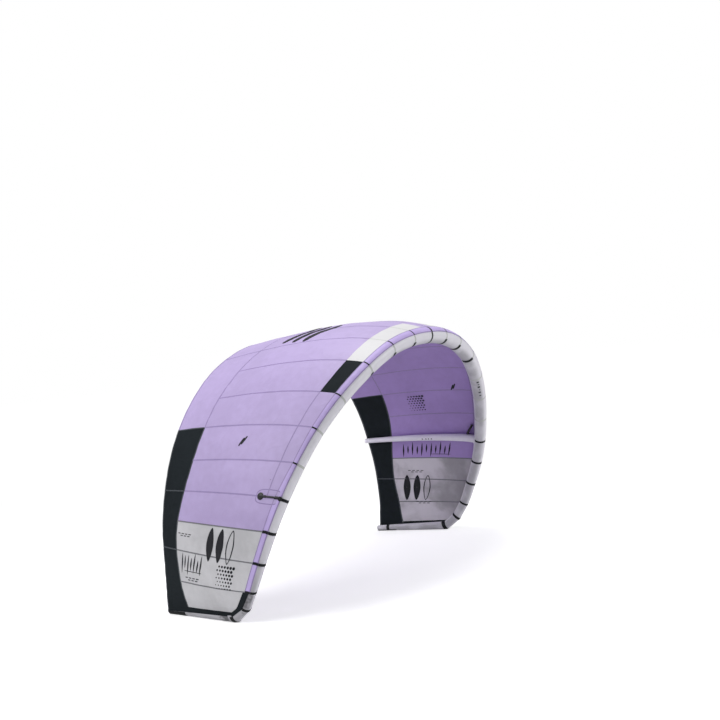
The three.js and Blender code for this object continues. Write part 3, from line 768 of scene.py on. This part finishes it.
# Sewn cloth, one thin sheet per panel
clothKinds = {
    # lilac sheets take the copy with painted shade on their inner faces
    "lilac": (["lilac", "lilacInsidePaintedShade"], "canopy_lilac"),
    "grey": (["grey", "greyInside"], "canopy_grey"),
    "white": (["white"], "patch_white"),
    "black": (["black"], "patch_black"),
    "strip": (["strip"], "canopy_lilac"),
}
clothLift = (0.0002, 0.0010)  # inner and outer face over the canopy's own line
seamGap = 0.0003
greyStart = 8  # the joint from which the gores are grey
gore = {"across": 15, "along": 31, "forward": 9, "tongue": 6, "besideTongue": 12}
tips = {"seam": 0.002, "border": 0.003, "rows": 24, "rowsBeside": 8, "around": 5, "behind": 4, "along": 25}
tailBand = {"along": 11, "middle": 57, "seam": 0.001, "rows": (43, 29, 29, 49)}
footWrap = np.linspace(corner + 0.25, 13, 4)  # places of the cloth that lies on the wingtip tube
sheets = {}


def clothSheet(name, places, lines, kind, keep=None):
    outer, inner = twoFaces(lambda s, lift: canopy(s, lines(s), lift), places, clothLift)
    points, faces, kinds = solidGrid(outer, inner, keep)
    part = points, faces, np.concatenate([gridUv(outer)] * 2)
    materials, slot = clothKinds[kind]
    piece = addPiece(name.replace("_", "."), part, materials, [name], kinds=kinds)
    sheets[name] = (piece, *gridSizes(outer, keep))


def onWing(places, word):
    return -places[::-1] if word == "left" else places


def wings(start, end, count):  # places between two joints on both wings, clear of the seams
    places = np.linspace(start + seamGap / jointStep(start), end - seamGap / jointStep(end), count)
    return {"right": places, "left": onWing(places, "left")}


def lineSpread(start, end, count):
    return lambda s: np.linspace(start(s) + depthToU(s, seamGap), end(s) - depthToU(s, seamGap), count)


def frontSpread(end, around, behind):  # from the front seam round the tube and on to a line behind it
    def lines(s):
        rear = np.linspace(0, end(s) - depthToU(s, seamGap), behind)
        return np.concatenate([np.linspace(-1, 0, around)[:-1], rear])

    return lines


def firstGore(word):  # beside the middle it reaches forward to the strip, and then to the white panel
    gap, forward = seamGap / jointStep(0), gore["forward"] - 1
    inTongue = np.linspace(gap, whiteStart - gap, gore["tongue"])
    beside = np.linspace(whiteStart, 1 - seamGap / jointStep(1), gore["besideTongue"])
    places = onWing(np.concatenate([inTongue, beside]), word)
    front = lineSpread(stripLine, rowLine, gore["forward"])
    rear = lineSpread(rowLine, bandLine, gore["along"])
    rows = gore["tongue"] - 1
    tongueRows = range(len(places) - 1 - rows, len(places) - 1) if word == "left" else range(rows)

    def lines(s):
        return np.concatenate([front(s)[:-1], rear(s)])

    def keep(row, column):
        return row in tongueRows or column >= forward

    return places, lines, keep


def addGores():
    for joint in range(lastGore):
        start = rowLine if joint < blackEnd else stripLine
        for word, places in wings(joint, joint + 1, gore["across"]).items():
            lines, keep = lineSpread(start, bandLine, gore["along"]), None
            if joint == 0:
                places, lines, keep = firstGore(word)
            kind = "grey" if joint >= greyStart else "lilac"
            clothSheet(f"gore_{word}_{joint + 1}", places, lines, kind, keep)


def addEdgePanels():
    lines = lineSpread(stripLine, rowLine, gore["forward"])
    for kind, start, end, count in (("white", whiteStart, whiteEnd, 40), ("black", whiteEnd, blackEnd, 15)):
        for word, places in wings(start, end, count).items():
            clothSheet(f"edge_panel_{kind}_{word}", places, lines, kind)


def addFrontStrips():
    for word, places in wings(0, lastGore, 150).items():
        clothSheet(f"front_strip_{word}", places, frontSpread(stripLine, 7, 3), "strip")


def addTips():
    inside = np.linspace(lastGore + tips["seam"], borderJoint - tips["border"], tips["rows"])
    beside = np.linspace(borderJoint + tips["border"], corner, tips["rowsBeside"])
    front = frontSpread(borderLine, tips["around"], tips["behind"])
    rear = lineSpread(borderLine, bandLine, tips["along"])
    forward = tips["around"] + tips["behind"] - 2

    def lines(s):
        return np.concatenate([front(s), rear(s)[1:]])

    for word in ("left", "right"):
        clothSheet(f"tip_panel_{word}", onWing(inside, word), rear, "grey")
        places = onWing(np.concatenate([inside, beside, footWrap]), word)

        def keep(row, column, mirrored=word == "left"):  # down the front, then along the foot
            step = len(inside) + len(beside) + len(footWrap) - 2 - row if mirrored else row
            if step >= len(inside) + len(beside) - 1:
                return column >= forward
            return step >= len(inside) or column < forward

        clothSheet(f"tip_border_{word}", places, lines, "black", keep)


def addTailBands():
    lines = lineSpread(bandLine, lambda s: 1 + depthToU(s, seamGap), tailBand["along"])
    end = bandCuts[1] - tailBand["seam"]
    clothSheet("tail_band_middle", np.linspace(-end, end, tailBand["middle"]), lines, "lilac")
    for i, (start, end, count) in enumerate(zip(bandCuts[1:], bandCuts[2:], tailBand["rows"])):
        for word, places in wings(start, min(end, corner), count).items():
            if end > corner:
                places = [places, footWrap] if word == "right" else [onWing(footWrap, word), places]
                places = np.concatenate(places)
            clothSheet(f"tail_band_{word}_{i + 1}", places, lines, "lilac" if i == 0 else "black")


addGores()
addEdgePanels()
addFrontStrips()
addTips()
addTailBands()
print("cloth made:", len(sheets), "sheets")

# Ribbons that lie on the cloth: seam tapes and hems
tapeLift = {"outside": (0.0011, 0.0017), "inside": (-0.0003, 0.0001)}
tapes = {"seam": 0.010, "narrow": 0.007, "row": 0.008, "tip": 0.012, "hem": 0.013}  # widths
hemDepth, frontDepth = 0.008, 0.002  # of a tape's middle, from the trailing edge or the strip's rear line
darkFrom, rowEnd, perJoint = 5, 7, 12  # joints where tapes turn black and where a row ends, and their steps


def ribbonPart(row, places, lifts, width, alongSpan=False):  # a strip that is three points wide
    outer, inner = twoFaces(row, places, lifts)
    line = outer[:, 1] if alongSpan else outer[1]
    length = np.concatenate([[0], np.cumsum(np.linalg.norm(np.diff(line, axis=0), axis=1))])
    uv = np.stack(np.meshgrid(np.arange(3) * width / 2, length, indexing="ij"), 2)
    uv = uv.transpose(1, 0, 2) if alongSpan else uv
    return gridPart(outer, inner, uv.reshape(-1, 2))


def acrossRibbon(s, start, end, width, lifts, steps=26):  # along the chord, at one joint
    us, places = np.linspace(start, end, steps), threeAcross(s, width / jointStep(s))
    return ribbonPart(lambda x, lift: canopy(x, us, lift), places, lifts, width)


def frontHem(s, width):  # where the hem lies on the tube, as shares of the cloth there
    around = math.radians(frontAngle(s) - leaveAngle(s)) * along(sizeTable, abs(s))[0]
    return -1 + np.array([0, 0.5, 1]) * (width / around)


def spanRibbon(line, start, end, width, lifts):  # along the span, on a line or on the front hem
    places = np.linspace(start, end, int(abs(end - start) * perJoint) + 1)
    across = np.array([-width / 2, 0, width / 2])

    def row(s, lift):
        return canopy(s, line(s) + depthToU(s, across) if line else frontHem(s, width), lift)

    return ribbonPart(row, places, lifts, width, True)


def frontTape(s):
    return stripLine(s) - depthToU(s, frontDepth)


def tailHem(s):
    return 1 - depthToU(s, hemDepth)


def addRibbons(name, parts, material, nodes=(), sharp=35):
    return addPiece(name, joinParts(parts), [material], nodes, sharp)


def addSeams():
    made = []
    for side, lifts in tapeLift.items():
        lilac, grey, black, pale = [], [], [], []
        for joint in range(lastGore + 1):
            for s in ((joint, -joint) if joint else (joint,)):
                start = rowLine(s) if 0 < joint <= blackEnd else stripLine(s)
                if side == "outside" or joint not in (0, sideStrut["joint"]):  # a strut lies on these two
                    family = lilac if joint < greyStart else grey
                    family.append(acrossRibbon(s, start, bandLine(s), tapes["seam"], lifts))
                if 0 < joint < whiteEnd:
                    pale.append(acrossRibbon(s, stripLine(s), rowLine(s), tapes["narrow"], lifts, 8))
        for sign in (1, -1):
            def span(line, start, end, width, sign=sign, lifts=lifts):
                ends = (start, end) if sign > 0 else (-end, -start)
                return spanRibbon(line, *ends, tapes[width], lifts)

            lilac.append(span(bandLine, 0, darkFrom, "seam"))
            black.append(span(bandLine, darkFrom, borderJoint, "tip"))
            lilac.append(span(rowLine, blackEnd, rowEnd, "row"))
            if side == "outside":
                lilac.append(span(frontTape, 0, lastGore, "narrow"))
                lilac.append(span(None, 0, lastGore, "narrow"))
            for joint in bandCuts[1:-1]:
                family = lilac if joint < darkFrom else black
                family.append(acrossRibbon(sign * joint, bandLine(joint), 1.0, tapes["seam"], lifts, 12))
            black.append(span(tailHem, darkFrom, corner, "hem"))
            lilac.append(span(tailHem, 0, darkFrom, "hem"))
        families = (("Lilac", lilac, "canopy_lilac"), ("Grey", grey, "canopy_grey"),
                    ("Black", black, "patch_black"), ("Pale", pale, "patch_white"))
        for family, parts, slot in families:
            material = "tapeTube" if family == "Pale" else "tape" + family
            made.append(addRibbons(f"seams{family}.{side}", parts, material))
    return made


seams = addSeams()
print("seams made")

# Bands round the tube at the joints, with their ends on the cloth, and the smaller bars and tabs
bandLift = (0.0003, 0.0012)
stripLift = (0.0011, 0.0019)
bandWidth = 0.020
band = {"clear": 0.6, "shortEnd": 318, "end": 380, "onCloth": 9}  # angles, and points on the cloth
dash = {"end": 0.8, "width": 0.011, "steps": 7}
tab = {"until": 3, "angles": (206, 300), "width": 0.034, "lift": (0.0009, 0.0016)}
seamTape = {"end": 425, "lift": (0.0002, 0.0007)}
tipTab = {"clear": 2, "end": 378, "width": 0.021, "lift": (0.0004, 0.0024)}
endTab = {"joint": 13.69, "clear": 3, "end": 420, "width": 0.012}
sleeve = {"start": 13.45, "short": 0.005, "angle": 236, "columns": 20, "rings": 9, "lift": (0.0003, 0.0011)}
tubeBars = {"start": 232, "lift": (0.0002, 0.0006), "bars": (  # joint, width and end angle
    (4.12, 0.016, 252), (4.24, 0.010, 247), (4.36, 0.020, 252),
    (4.50, 0.008, 244), (4.62, 0.014, 252), (4.78, 0.012, 249))}
strutBars = {"angles": (168, 188, 5), "lift": (0.0002, 0.0009), "long": 0.010,
             "places": (0.43, 0.455, 0.475, 0.505)}


def tubeBand(s, start, end, width, lifts):
    angles = np.linspace(start, end, max(4, int((end - start) / 6)))  # a point every six degrees
    places = threeAcross(s, width / jointStep(s))
    return turnInside(ribbonPart(lambda x, lift: tubeRing(x, lift, angles), places, lifts, width))


def tubeSleeve():  # on the outer side of the wingtip tube's end
    angles = np.linspace(shape["tip"][2] + endTab["clear"], sleeve["angle"], sleeve["columns"])
    places = np.linspace(sleeve["start"], tubeEnd - sleeve["short"], sleeve["rings"])
    rings = twoFaces(lambda s, lift: tubeRing(s, lift, angles), places, sleeve["lift"])
    return turnInside(gridPart(*rings))


def strutBar(u):  # a small dark bar on the inner side of a side strut
    angles = np.linspace(*strutBars["angles"])
    places = threeAcross(u, strutBars["long"] / chordAt(sideStrut["joint"])[5])
    rows = twoFaces(lambda x, lift: strutRing(sideStrut, x, lift, angles), places, strutBars["lift"])
    return gridPart(*rows)


def addJointBands():
    names = {"joint_band_middle": 0}
    for word, sign in (("left", -1), ("right", 1)):
        names.update({f"joint_band_{word}_{joint}": sign * joint for joint in (7, 8, 9, 10)})
    for name, s in names.items():
        end = band["shortEnd"] if abs(s) in (0, sideStrut["joint"]) else band["end"]
        parts = [tubeBand(s, blend(shape["front"], s) + band["clear"], end, bandWidth, bandLift),
                 acrossRibbon(s, -1.0, stripLine(s), bandWidth, stripLift, band["onCloth"])]
        addRibbons(name.replace("_", "."), parts, "band", [name])


def addTubeMarks():
    tabs, dashes, tone, bars = [], [], [], []
    for sign in (1, -1):
        for joint in range(1, 7):
            s = sign * joint
            cloth = stripLine(s) * dash["end"]
            dashes.append(acrossRibbon(s, -1.0, cloth, dash["width"], stripLift, dash["steps"]))
            if joint <= tab["until"]:
                tabs.append(tubeBand(s, *tab["angles"], tab["width"], tab["lift"]))
            start = blend(shape["front"], s) + band["clear"]
            tone.append(tubeBand(s, start, seamTape["end"], tapeWidth, seamTape["lift"]))
        for joint in (corner - 1, corner):
            start = frontAngle(joint) + tipTab["clear"]
            tabs.append(tubeBand(sign * joint, start, tipTab["end"], tipTab["width"], tipTab["lift"]))
        start = shape["tip"][2] + endTab["clear"]
        tabs.append(tubeBand(sign * endTab["joint"], start, endTab["end"], endTab["width"], bandLift))
        tabs.append(tubeSleeve() if sign > 0 else turnOver(tubeSleeve()))
        for s, width, end in tubeBars["bars"]:
            bars.append(tubeBand(sign * s, tubeBars["start"], end, width, tubeBars["lift"]))
        for u in strutBars["places"]:
            bars.append(strutBar(u) if sign > 0 else turnOver(strutBar(u)))
    addRibbons("tubePrints", bars, "printDark")
    addRibbons("stripDashes", dashes, "band")
    addRibbons("tubeTabs", tabs, "band")
    addRibbons("tubeSeams", tone, "tapeTube")


addJointBands()
addTubeMarks()
print("joint bands made")

# Inflation hoses of the side struts
hose = {"radius": 0.0065, "clear": 0.0015, "seat": 0.0012, "behind": 0.150, "frontTurn": 0.7,
        "route": (6, 4), "columns": 16, "steps": 40, "sharp": 40, "collar": (0.026, 0.005),
        "frontCollar": 0.62, "ferrules": (6, 31), "ferruleRadius": 0.0086,
        "collarShape": ((1, 0), (1, 0.35), (0.96, 0.55), (0.6, 0.7), (0.45, 0.95), (0.38, 1))}


def smoothLine(points, steps):
    points = np.concatenate([[2 * points[0] - points[1]], points, [2 * points[-1] - points[-2]]])
    places = np.linspace(0, len(points) - 3, steps, endpoint=False)
    return np.array([smooth(*points[int(p):int(p) + 4], p - int(p)) for p in places] + [points[-2]])


def circle(centre, first, second, radius, columns):
    return centre + aroundAxis(first, second, radius, np.arange(columns) * 2 * math.pi / columns)


def sweep(line, radius, columns, start):  # a round tube along a line
    tangents = unit(np.gradient(line, axis=0))
    side = unit(start - tangents[0] * (start @ tangents[0]))
    rings = []
    for point, tangent in zip(line, tangents):
        side = unit(side - tangent * (side @ tangent))
        rings.append(circle(point, side, np.cross(tangent, side), radius, columns))
    return closedTube(np.array(rings))


def turnedDisc(centre, normal, profile, columns=32):  # a round fitting: pairs of radius and height
    side = unit(np.cross(normal, [0, 0, 1.0]))
    other = np.cross(normal, side)
    rings = [circle(centre + normal * height, side, other, radius, columns) for radius, height in profile]
    return closedTube(np.array(rings))


def addFitting(kind, word, parts, nodes=()):
    part = joinParts(parts)
    part = turnOver(part) if word == "left" else part
    addPiece(f"{kind}.{word}", part, ["rubber"], nodes, hose["sharp"])


def addHose(word):
    s, turn, high = sideStrut["joint"], hose["frontTurn"], hose["clear"] + hose["radius"]
    far = depthToU(s, hose["behind"])
    route = [*np.linspace(far, 0, hose["route"][0]), *np.linspace(0, -turn, hose["route"][1])[1:]]
    line = smoothLine(np.array([canopy(s, [u], high)[0] for u in route]), hose["steps"])
    ends = [canopy(s, [u], lift)[0] for u in (far, -turn) for lift in (hose["seat"], high)]
    low, top, frontLow, frontTop = ends
    normal = unit(top - low)
    wide, tall = hose["collar"]
    profile = [(wide * radius, tall * height) for radius, height in hose["collarShape"]]
    small = [(radius * hose["frontCollar"], height) for radius, height in profile]
    parts = [sweep(line, hose["radius"], hose["columns"], normal), turnedDisc(low, normal, profile),
             turnedDisc(frontLow, unit(frontTop - frontLow), small)]
    for place in hose["ferrules"]:
        parts.append(sweep(line[place:place + 3], hose["ferruleRadius"], hose["columns"], normal))
    addFitting("inflation.hose", word, parts, [f"inflation_hose_{word}"])


elbow = {"radius": 0.0110, "from": 6.50, "to": 6.93, "u": 0.10, "middleBehind": 0.02, "below": 0.012,
         "bow": 0.034, "steps": 20, "columns": 14, "turnedFrom": (6.7, 0.3),
         "onStrut": (0.13, 0.003, 52)}  # share of the chord, lift and angle of its end on the strut
valve = {"profile": ((0.015, 0), (0.015, 0.004), (0.012, 0.006)), "back": 0.002, "columns": 20}


def addElbow(word):  # the short hose inside, from the leading tube to the side strut
    u, lift, angle = elbow["onStrut"]
    top = strutRing(sideStrut, u, lift, [angle])[0]
    start = canopy(elbow["from"], [elbow["u"]], -elbow["below"])[0]
    between, u = (elbow["from"] + elbow["to"]) / 2, elbow["u"] + elbow["middleBehind"]
    middle = canopy(between, [u], -elbow["below"] - elbow["bow"])[0]
    line = smoothLine(np.array([start, middle, top]), elbow["steps"])
    s, u = elbow["turnedFrom"]
    parts = [sweep(line, elbow["radius"], elbow["columns"], unit(line[0] - canopy(s, [u])[0]))]
    for place in (start, top):
        aim = unit(middle - place)
        parts.append(turnedDisc(place - aim * valve["back"], aim, valve["profile"], valve["columns"]))
    addFitting("inner.elbow", word, parts)


for word in ("left", "right"):
    addHose(word)
    addElbow(word)
print("hoses made")


# Flat motifs and patches on the cloth, drawn in metres around a place on the canopy
def onCanopy(s0, u0, drawn, lift):  # drawn x runs along the span away from the middle, y towards the tail
    sign, step, length = 1 if s0 >= 0 else -1, jointStep(s0), chordAt(abs(s0))[5]
    return np.array([canopy(sign * (abs(s0) + x / step), [u0 + y / length], lift)[0] for x, y in drawn])


def loopPart(s0, u0, outerLoop, innerLoop, lifts):
    filled = abs(innerLoop[0][0]) < 0.5 * abs(outerLoop[0][0])
    steps = max(2, min(motifStyle["mostRings"], int(2 + outerLoop.max() / motifStyle["ringStep"])))
    shares = np.linspace(0, 1, steps if filled else 2)[:, None, None]
    loops = outerLoop[None] * (1 - shares) + innerLoop[None] * shares
    outer, inner = twoFaces(lambda loop, lift: onCanopy(s0, u0, loop, lift), loops, lifts)
    points, faces, _ = solidGrid(outer, inner, wrapped=True)
    part = points, faces, np.concatenate([loops.reshape(-1, 2)] * 2)
    start = outer[0, 0]
    facing = np.cross(outer[0, 1] - start, outer[1, 0] - start) @ (start - inner[0, 0])
    return turnInside(part) if facing > 0 else part


def ellipseLoop(a, b, turn, power):
    angles = np.linspace(0, 2 * math.pi, motifStyle["corners"], endpoint=False)
    cosine, sine, t = np.cos(angles), np.sin(angles), math.radians(turn)
    x, y = a * np.sign(cosine) * np.abs(cosine) ** power, b * np.sign(sine) * np.abs(sine) ** power
    return np.stack([x * math.cos(t) - y * math.sin(t), x * math.sin(t) + y * math.cos(t)], 1)


# An ellipse of half sizes a and b, filled or as a line; a power under 1 makes it boxy, over 1 starry.
def motif(s0, u0, a, b, line, turn, power, lifts):
    least, core = motifStyle["least"], motifStyle["core"]
    inner = (max(a - line, least), max(b - line, least)) if line else (a * core, b * core)
    return loopPart(s0, u0, ellipseLoop(a, b, turn, power), ellipseLoop(*inner, turn, power), lifts)


motifStyle = {"corners": 28, "mostRings": 14, "ringStep": 0.008, "least": 0.0005, "core": 0.02}
patch = {"size": (0.045, 0.105), "forward": 0.07, "power": 0.62}
patchLayers = {"lilac": (0.0, (0.0010, 0.0014)), "tapeLilac": (0.007, (0.0010, 0.0012))}


def addHosePatches():  # under each hose
    joint, (wide, tall) = sideStrut["joint"], patch["size"]
    place = depthToU(joint, hose["behind"] - patch["forward"])
    for kind, (grow, lifts) in patchLayers.items():
        size = (wide + grow, tall + grow)
        parts = [motif(s, place, *size, None, 0, patch["power"], lifts) for s in (joint, -joint)]
        addRibbons(f"hosePatches.{kind}", parts, kind)


addHosePatches()

# Plain strokes, rings and dots stand where the photographed kite carries its prints. A place is a joint
# and a share of the chord, "inside" is how far it moves on the inner face, and a size is half the size
# along the span and towards the tail, in metres.
marks = {
    "rings": {"place": (8.62, 0.26), "inside": (0.75, 0.22), "count": 3, "pitch": 0.095,
              "size": (0.125, 0.034), "line": 0.0095, "power": 1.25},
    "strokes": {"place": (9.36, 0.52), "inside": (-1.75, -0.22), "count": 7, "more": 4, "pitch": 0.034,
                "spread": 1.3, "sizes": (0.072, 0.046), "wide": 0.0075, "sway": 0.010, "turn": 6,
                "power": 1.5, "stem": (0.052, 2.4), "stemSize": (0.0025, 0.095)},
    "dots": {"place": (9.62, 0.27), "inside": (-4.1, 0.26), "rows": 7, "columns": 6, "pitch": 0.026,
             "biggest": 0.0118, "shrink": 0.75},
    "dashes": {"places": ((8.40, 0.66), (9.80, 0.55)), "inside": (0.2, -0.12), "count": 4,
               "pitch": 0.040, "size": (0.0035, 0.014), "row": (0.016, 0.3)},
    "slants": {"place": (5.45, 0.40), "inside": (-0.6, -0.18), "step": (0.012, 0.020),
               "size": (0.034, 0.0075), "turn": 24},
    "topBars": {"place": (-1.30, 0.46), "size": (0.19, 0.032), "step": 0.02, "pitch": 0.105, "turn": 14},
}
boxy, bar = 0.6, 0.7
outsideLift, insideLift, topLift = (0.0010, 0.0020), (-0.0005, 0.0001), (0.0010, 0.0030)


def shifted(s, u, x, y):  # a place moved by metres along the span and towards the tail
    return s + x / jointStep(s), u + y / chordAt(abs(s))[5]


def wingMarks(lifts, inside):
    parts = []
    ring, stroke, dot, line, slant = (marks[key] for key in ("rings", "strokes", "dots", "dashes", "slants"))

    def add(mark, x, y, width, height, thin=None, turn=0, power=1, place=None):
        (s, u), (moveS, moveU) = place or mark["place"], mark["inside"] if inside else (0, 0)
        parts.append((*shifted(s + moveS, u + moveU, x, y), width, height, thin, turn, power))

    for k in range(ring["count"]):
        thin = ring["line"] if k == 0 else None
        add(ring, 0, k * ring["pitch"], *ring["size"], thin, power=ring["power"])
    spread = stroke["spread"] if inside else 1
    for k in range(stroke["count"] + (stroke["more"] if inside else 0)):
        x, y = stroke["sway"] * math.sin(2.1 * k), k * stroke["pitch"] * spread
        add(stroke, x, y, stroke["sizes"][k % 2], stroke["wide"], None, stroke["turn"], stroke["power"])
    x, rows = stroke["stem"]
    add(stroke, x, rows * stroke["pitch"], *stroke["stemSize"], power=boxy)
    for row in range(dot["rows"]):
        for column in range(dot["columns"]):
            size = dot["biggest"] * (1 - dot["shrink"] * (row + column) / (dot["rows"] + dot["columns"] - 2))
            add(dot, (row - 3) * dot["pitch"], (column + 0.5 * (row % 2) - 3) * dot["pitch"], size, size)
    x, y = line["row"]
    for place in line["places"]:
        for row in range(2):
            for k in range(line["count"] - row):
                add(line, x * row, (k + y * row) * line["pitch"], *line["size"], power=boxy, place=place)
    x, y = slant["step"]
    for k in range(2):
        add(slant, x * k, y * k, *slant["size"], None, slant["turn"], bar)
    return [motif(sign * s, u, *drawn, lifts) for s, u, *drawn in parts for sign in (1, -1)]


def topMarks():
    bars = marks["topBars"]
    places = [shifted(*bars["place"], bars["step"] * k, k * bars["pitch"]) for k in range(3)]
    return [motif(*place, *bars["size"], None, bars["turn"], bar, topLift) for place in places]


addRibbons("marks.outside", wingMarks(outsideLift, False) + topMarks(), "printDark")
addRibbons("marks.inside", wingMarks(insideLift, True), "printDark")
print("marks made")

# Each cloth sheet's width, length and area, and the ribbons that lie on it
ribbonsOn = {"gore_left_1": seams}
borderLength, borderFilled = 0.86, 0.9
for name, (piece, width, length, area) in sheets.items():
    if "border" in name:  # cut as one bent strip, down the front and along the foot
        width, length = area / borderLength / borderFilled, borderLength
    area = min(float(area), width * length)
    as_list(ribbonsOn.get(name, []))

# Floor, light and camera
studio = {
    "half": 60,  # of the floor, in metres
    "fade": (2.5, 9),  # metres from the middle over which its colour gives way to a white glow
    "pale": ((0.88, 0.88, 0.88, 1), (0.91, 0.91, 0.91, 1)),
    "glow": (0.46, 0.56),  # in the middle, and what is added far out
    "sky": {"Color": (1, 1, 1, 1), "Strength": 1.0},
    "skyLight": {"Color": (0.96, 0.98, 1, 1), "Strength": 0.37},
}
lights = {
    "softKey": {"place": (-5.6, 2.4, 5.6), "target": (0, 0, 1.0), "size": 4.5, "power": 300},
    "softRim": {"place": (3.6, -7.0, 3.4), "target": (0, 0, 1.1), "size": 3.4, "power": 270},
    "softTop": {"place": (0.5, 0.2, 6.5), "target": (0, 0, 1.0), "size": 3.0, "power": 165},
}
view = {
    "right": (0.52992, -0.84178, -0.10300),
    "rise": (0.07333, -0.07552, 0.99444),
    "back": (-0.84487, -0.53453, 0.02171),
    "place": (-7.0578, -4.5709, 1.8090),
    "lens": {"lens": 51.77, "sensor_width": 36, "shift_x": 0.0017, "shift_y": 0.0127, "clip_end": 500},
}


def poseFrom(right, rise, back, place):
    return Matrix([[right[i], rise[i], back[i], place[i]] for i in range(3)] + [[0, 0, 0, 1]])


def addStage():
    half = studio["half"]
    corners = [(-half, -half, 0), (half, -half, 0), (half, half, 0), (-half, half, 0)]
    floor = bpy.data.meshes.new("floor")
    floor.from_pydata(corners, [], [(0, 1, 2, 3)])
    material, tree, shader, place, _ = newMaterial("paleFloor")
    away = node(tree, "VectorMath", {0: place}, operation="LENGTH").outputs["Value"]
    far = ramp(tree, away, *studio["fade"])
    pale = mixColor(tree, ramp(tree, noise(tree, place, 3, 3)[0], 0.3, 0.7), *studio["pale"])
    tree.links.new(mixColor(tree, far, pale, (0, 0, 0, 1)), shader.inputs["Base Color"])
    shader.inputs["Roughness"].default_value = 1.0
    shader.inputs["Specular IOR Level"].default_value = 0.0
    seen = node(tree, "LightPath").outputs["Is Camera Ray"]  # the glow is for the eye and lights nothing
    near, added = studio["glow"]
    glow = times(tree, seen, calc(tree, "ADD", times(tree, far, added), near))
    tree.links.new(glow, shader.inputs["Emission Strength"])
    shader.inputs["Emission Color"].default_value = (1, 1, 1, 1)
    floor.materials.append(material)
    newObject("floor", floor)


def addWorld():
    world = bpy.data.worlds.new("paleStudio")
    world.use_nodes = True
    tree = world.node_tree
    tree.nodes.clear()
    seen, light = (node(tree, "Background", studio[key]) for key in ("sky", "skyLight"))
    path = node(tree, "LightPath").outputs["Is Camera Ray"]
    mixed = node(tree, "MixShader", {0: path, 1: light.outputs[0], 2: seen.outputs[0]})
    node(tree, "OutputWorld", {0: mixed.outputs[0]})
    bpy.context.scene.world = world


def addLight(name, settings):
    light = bpy.data.lights.new(name, "AREA")
    light.shape = "DISK"
    light.size = settings["size"]
    light.energy = settings["power"]
    back = unit(np.array(settings["place"]) - np.array(settings["target"]))
    side = unit(np.cross([0, 0, 1.0], back))
    newObject(name, light).matrix_world = poseFrom(side, np.cross(back, side), back, settings["place"])


def addCamera():
    camera = bpy.data.cameras.new("photoView")
    for key, value in view["lens"].items():
        setattr(camera, key, value)
    holder = newObject("photoView", camera)
    holder.matrix_world = poseFrom(view["right"], view["rise"], view["back"], view["place"])
    bpy.context.scene.camera = holder


addStage()
addWorld()
for name, settings in lights.items():
    addLight(name, settings)
addCamera()
bpy.context.scene.view_settings.view_transform = "Standard"
print("stage, lights and camera made")
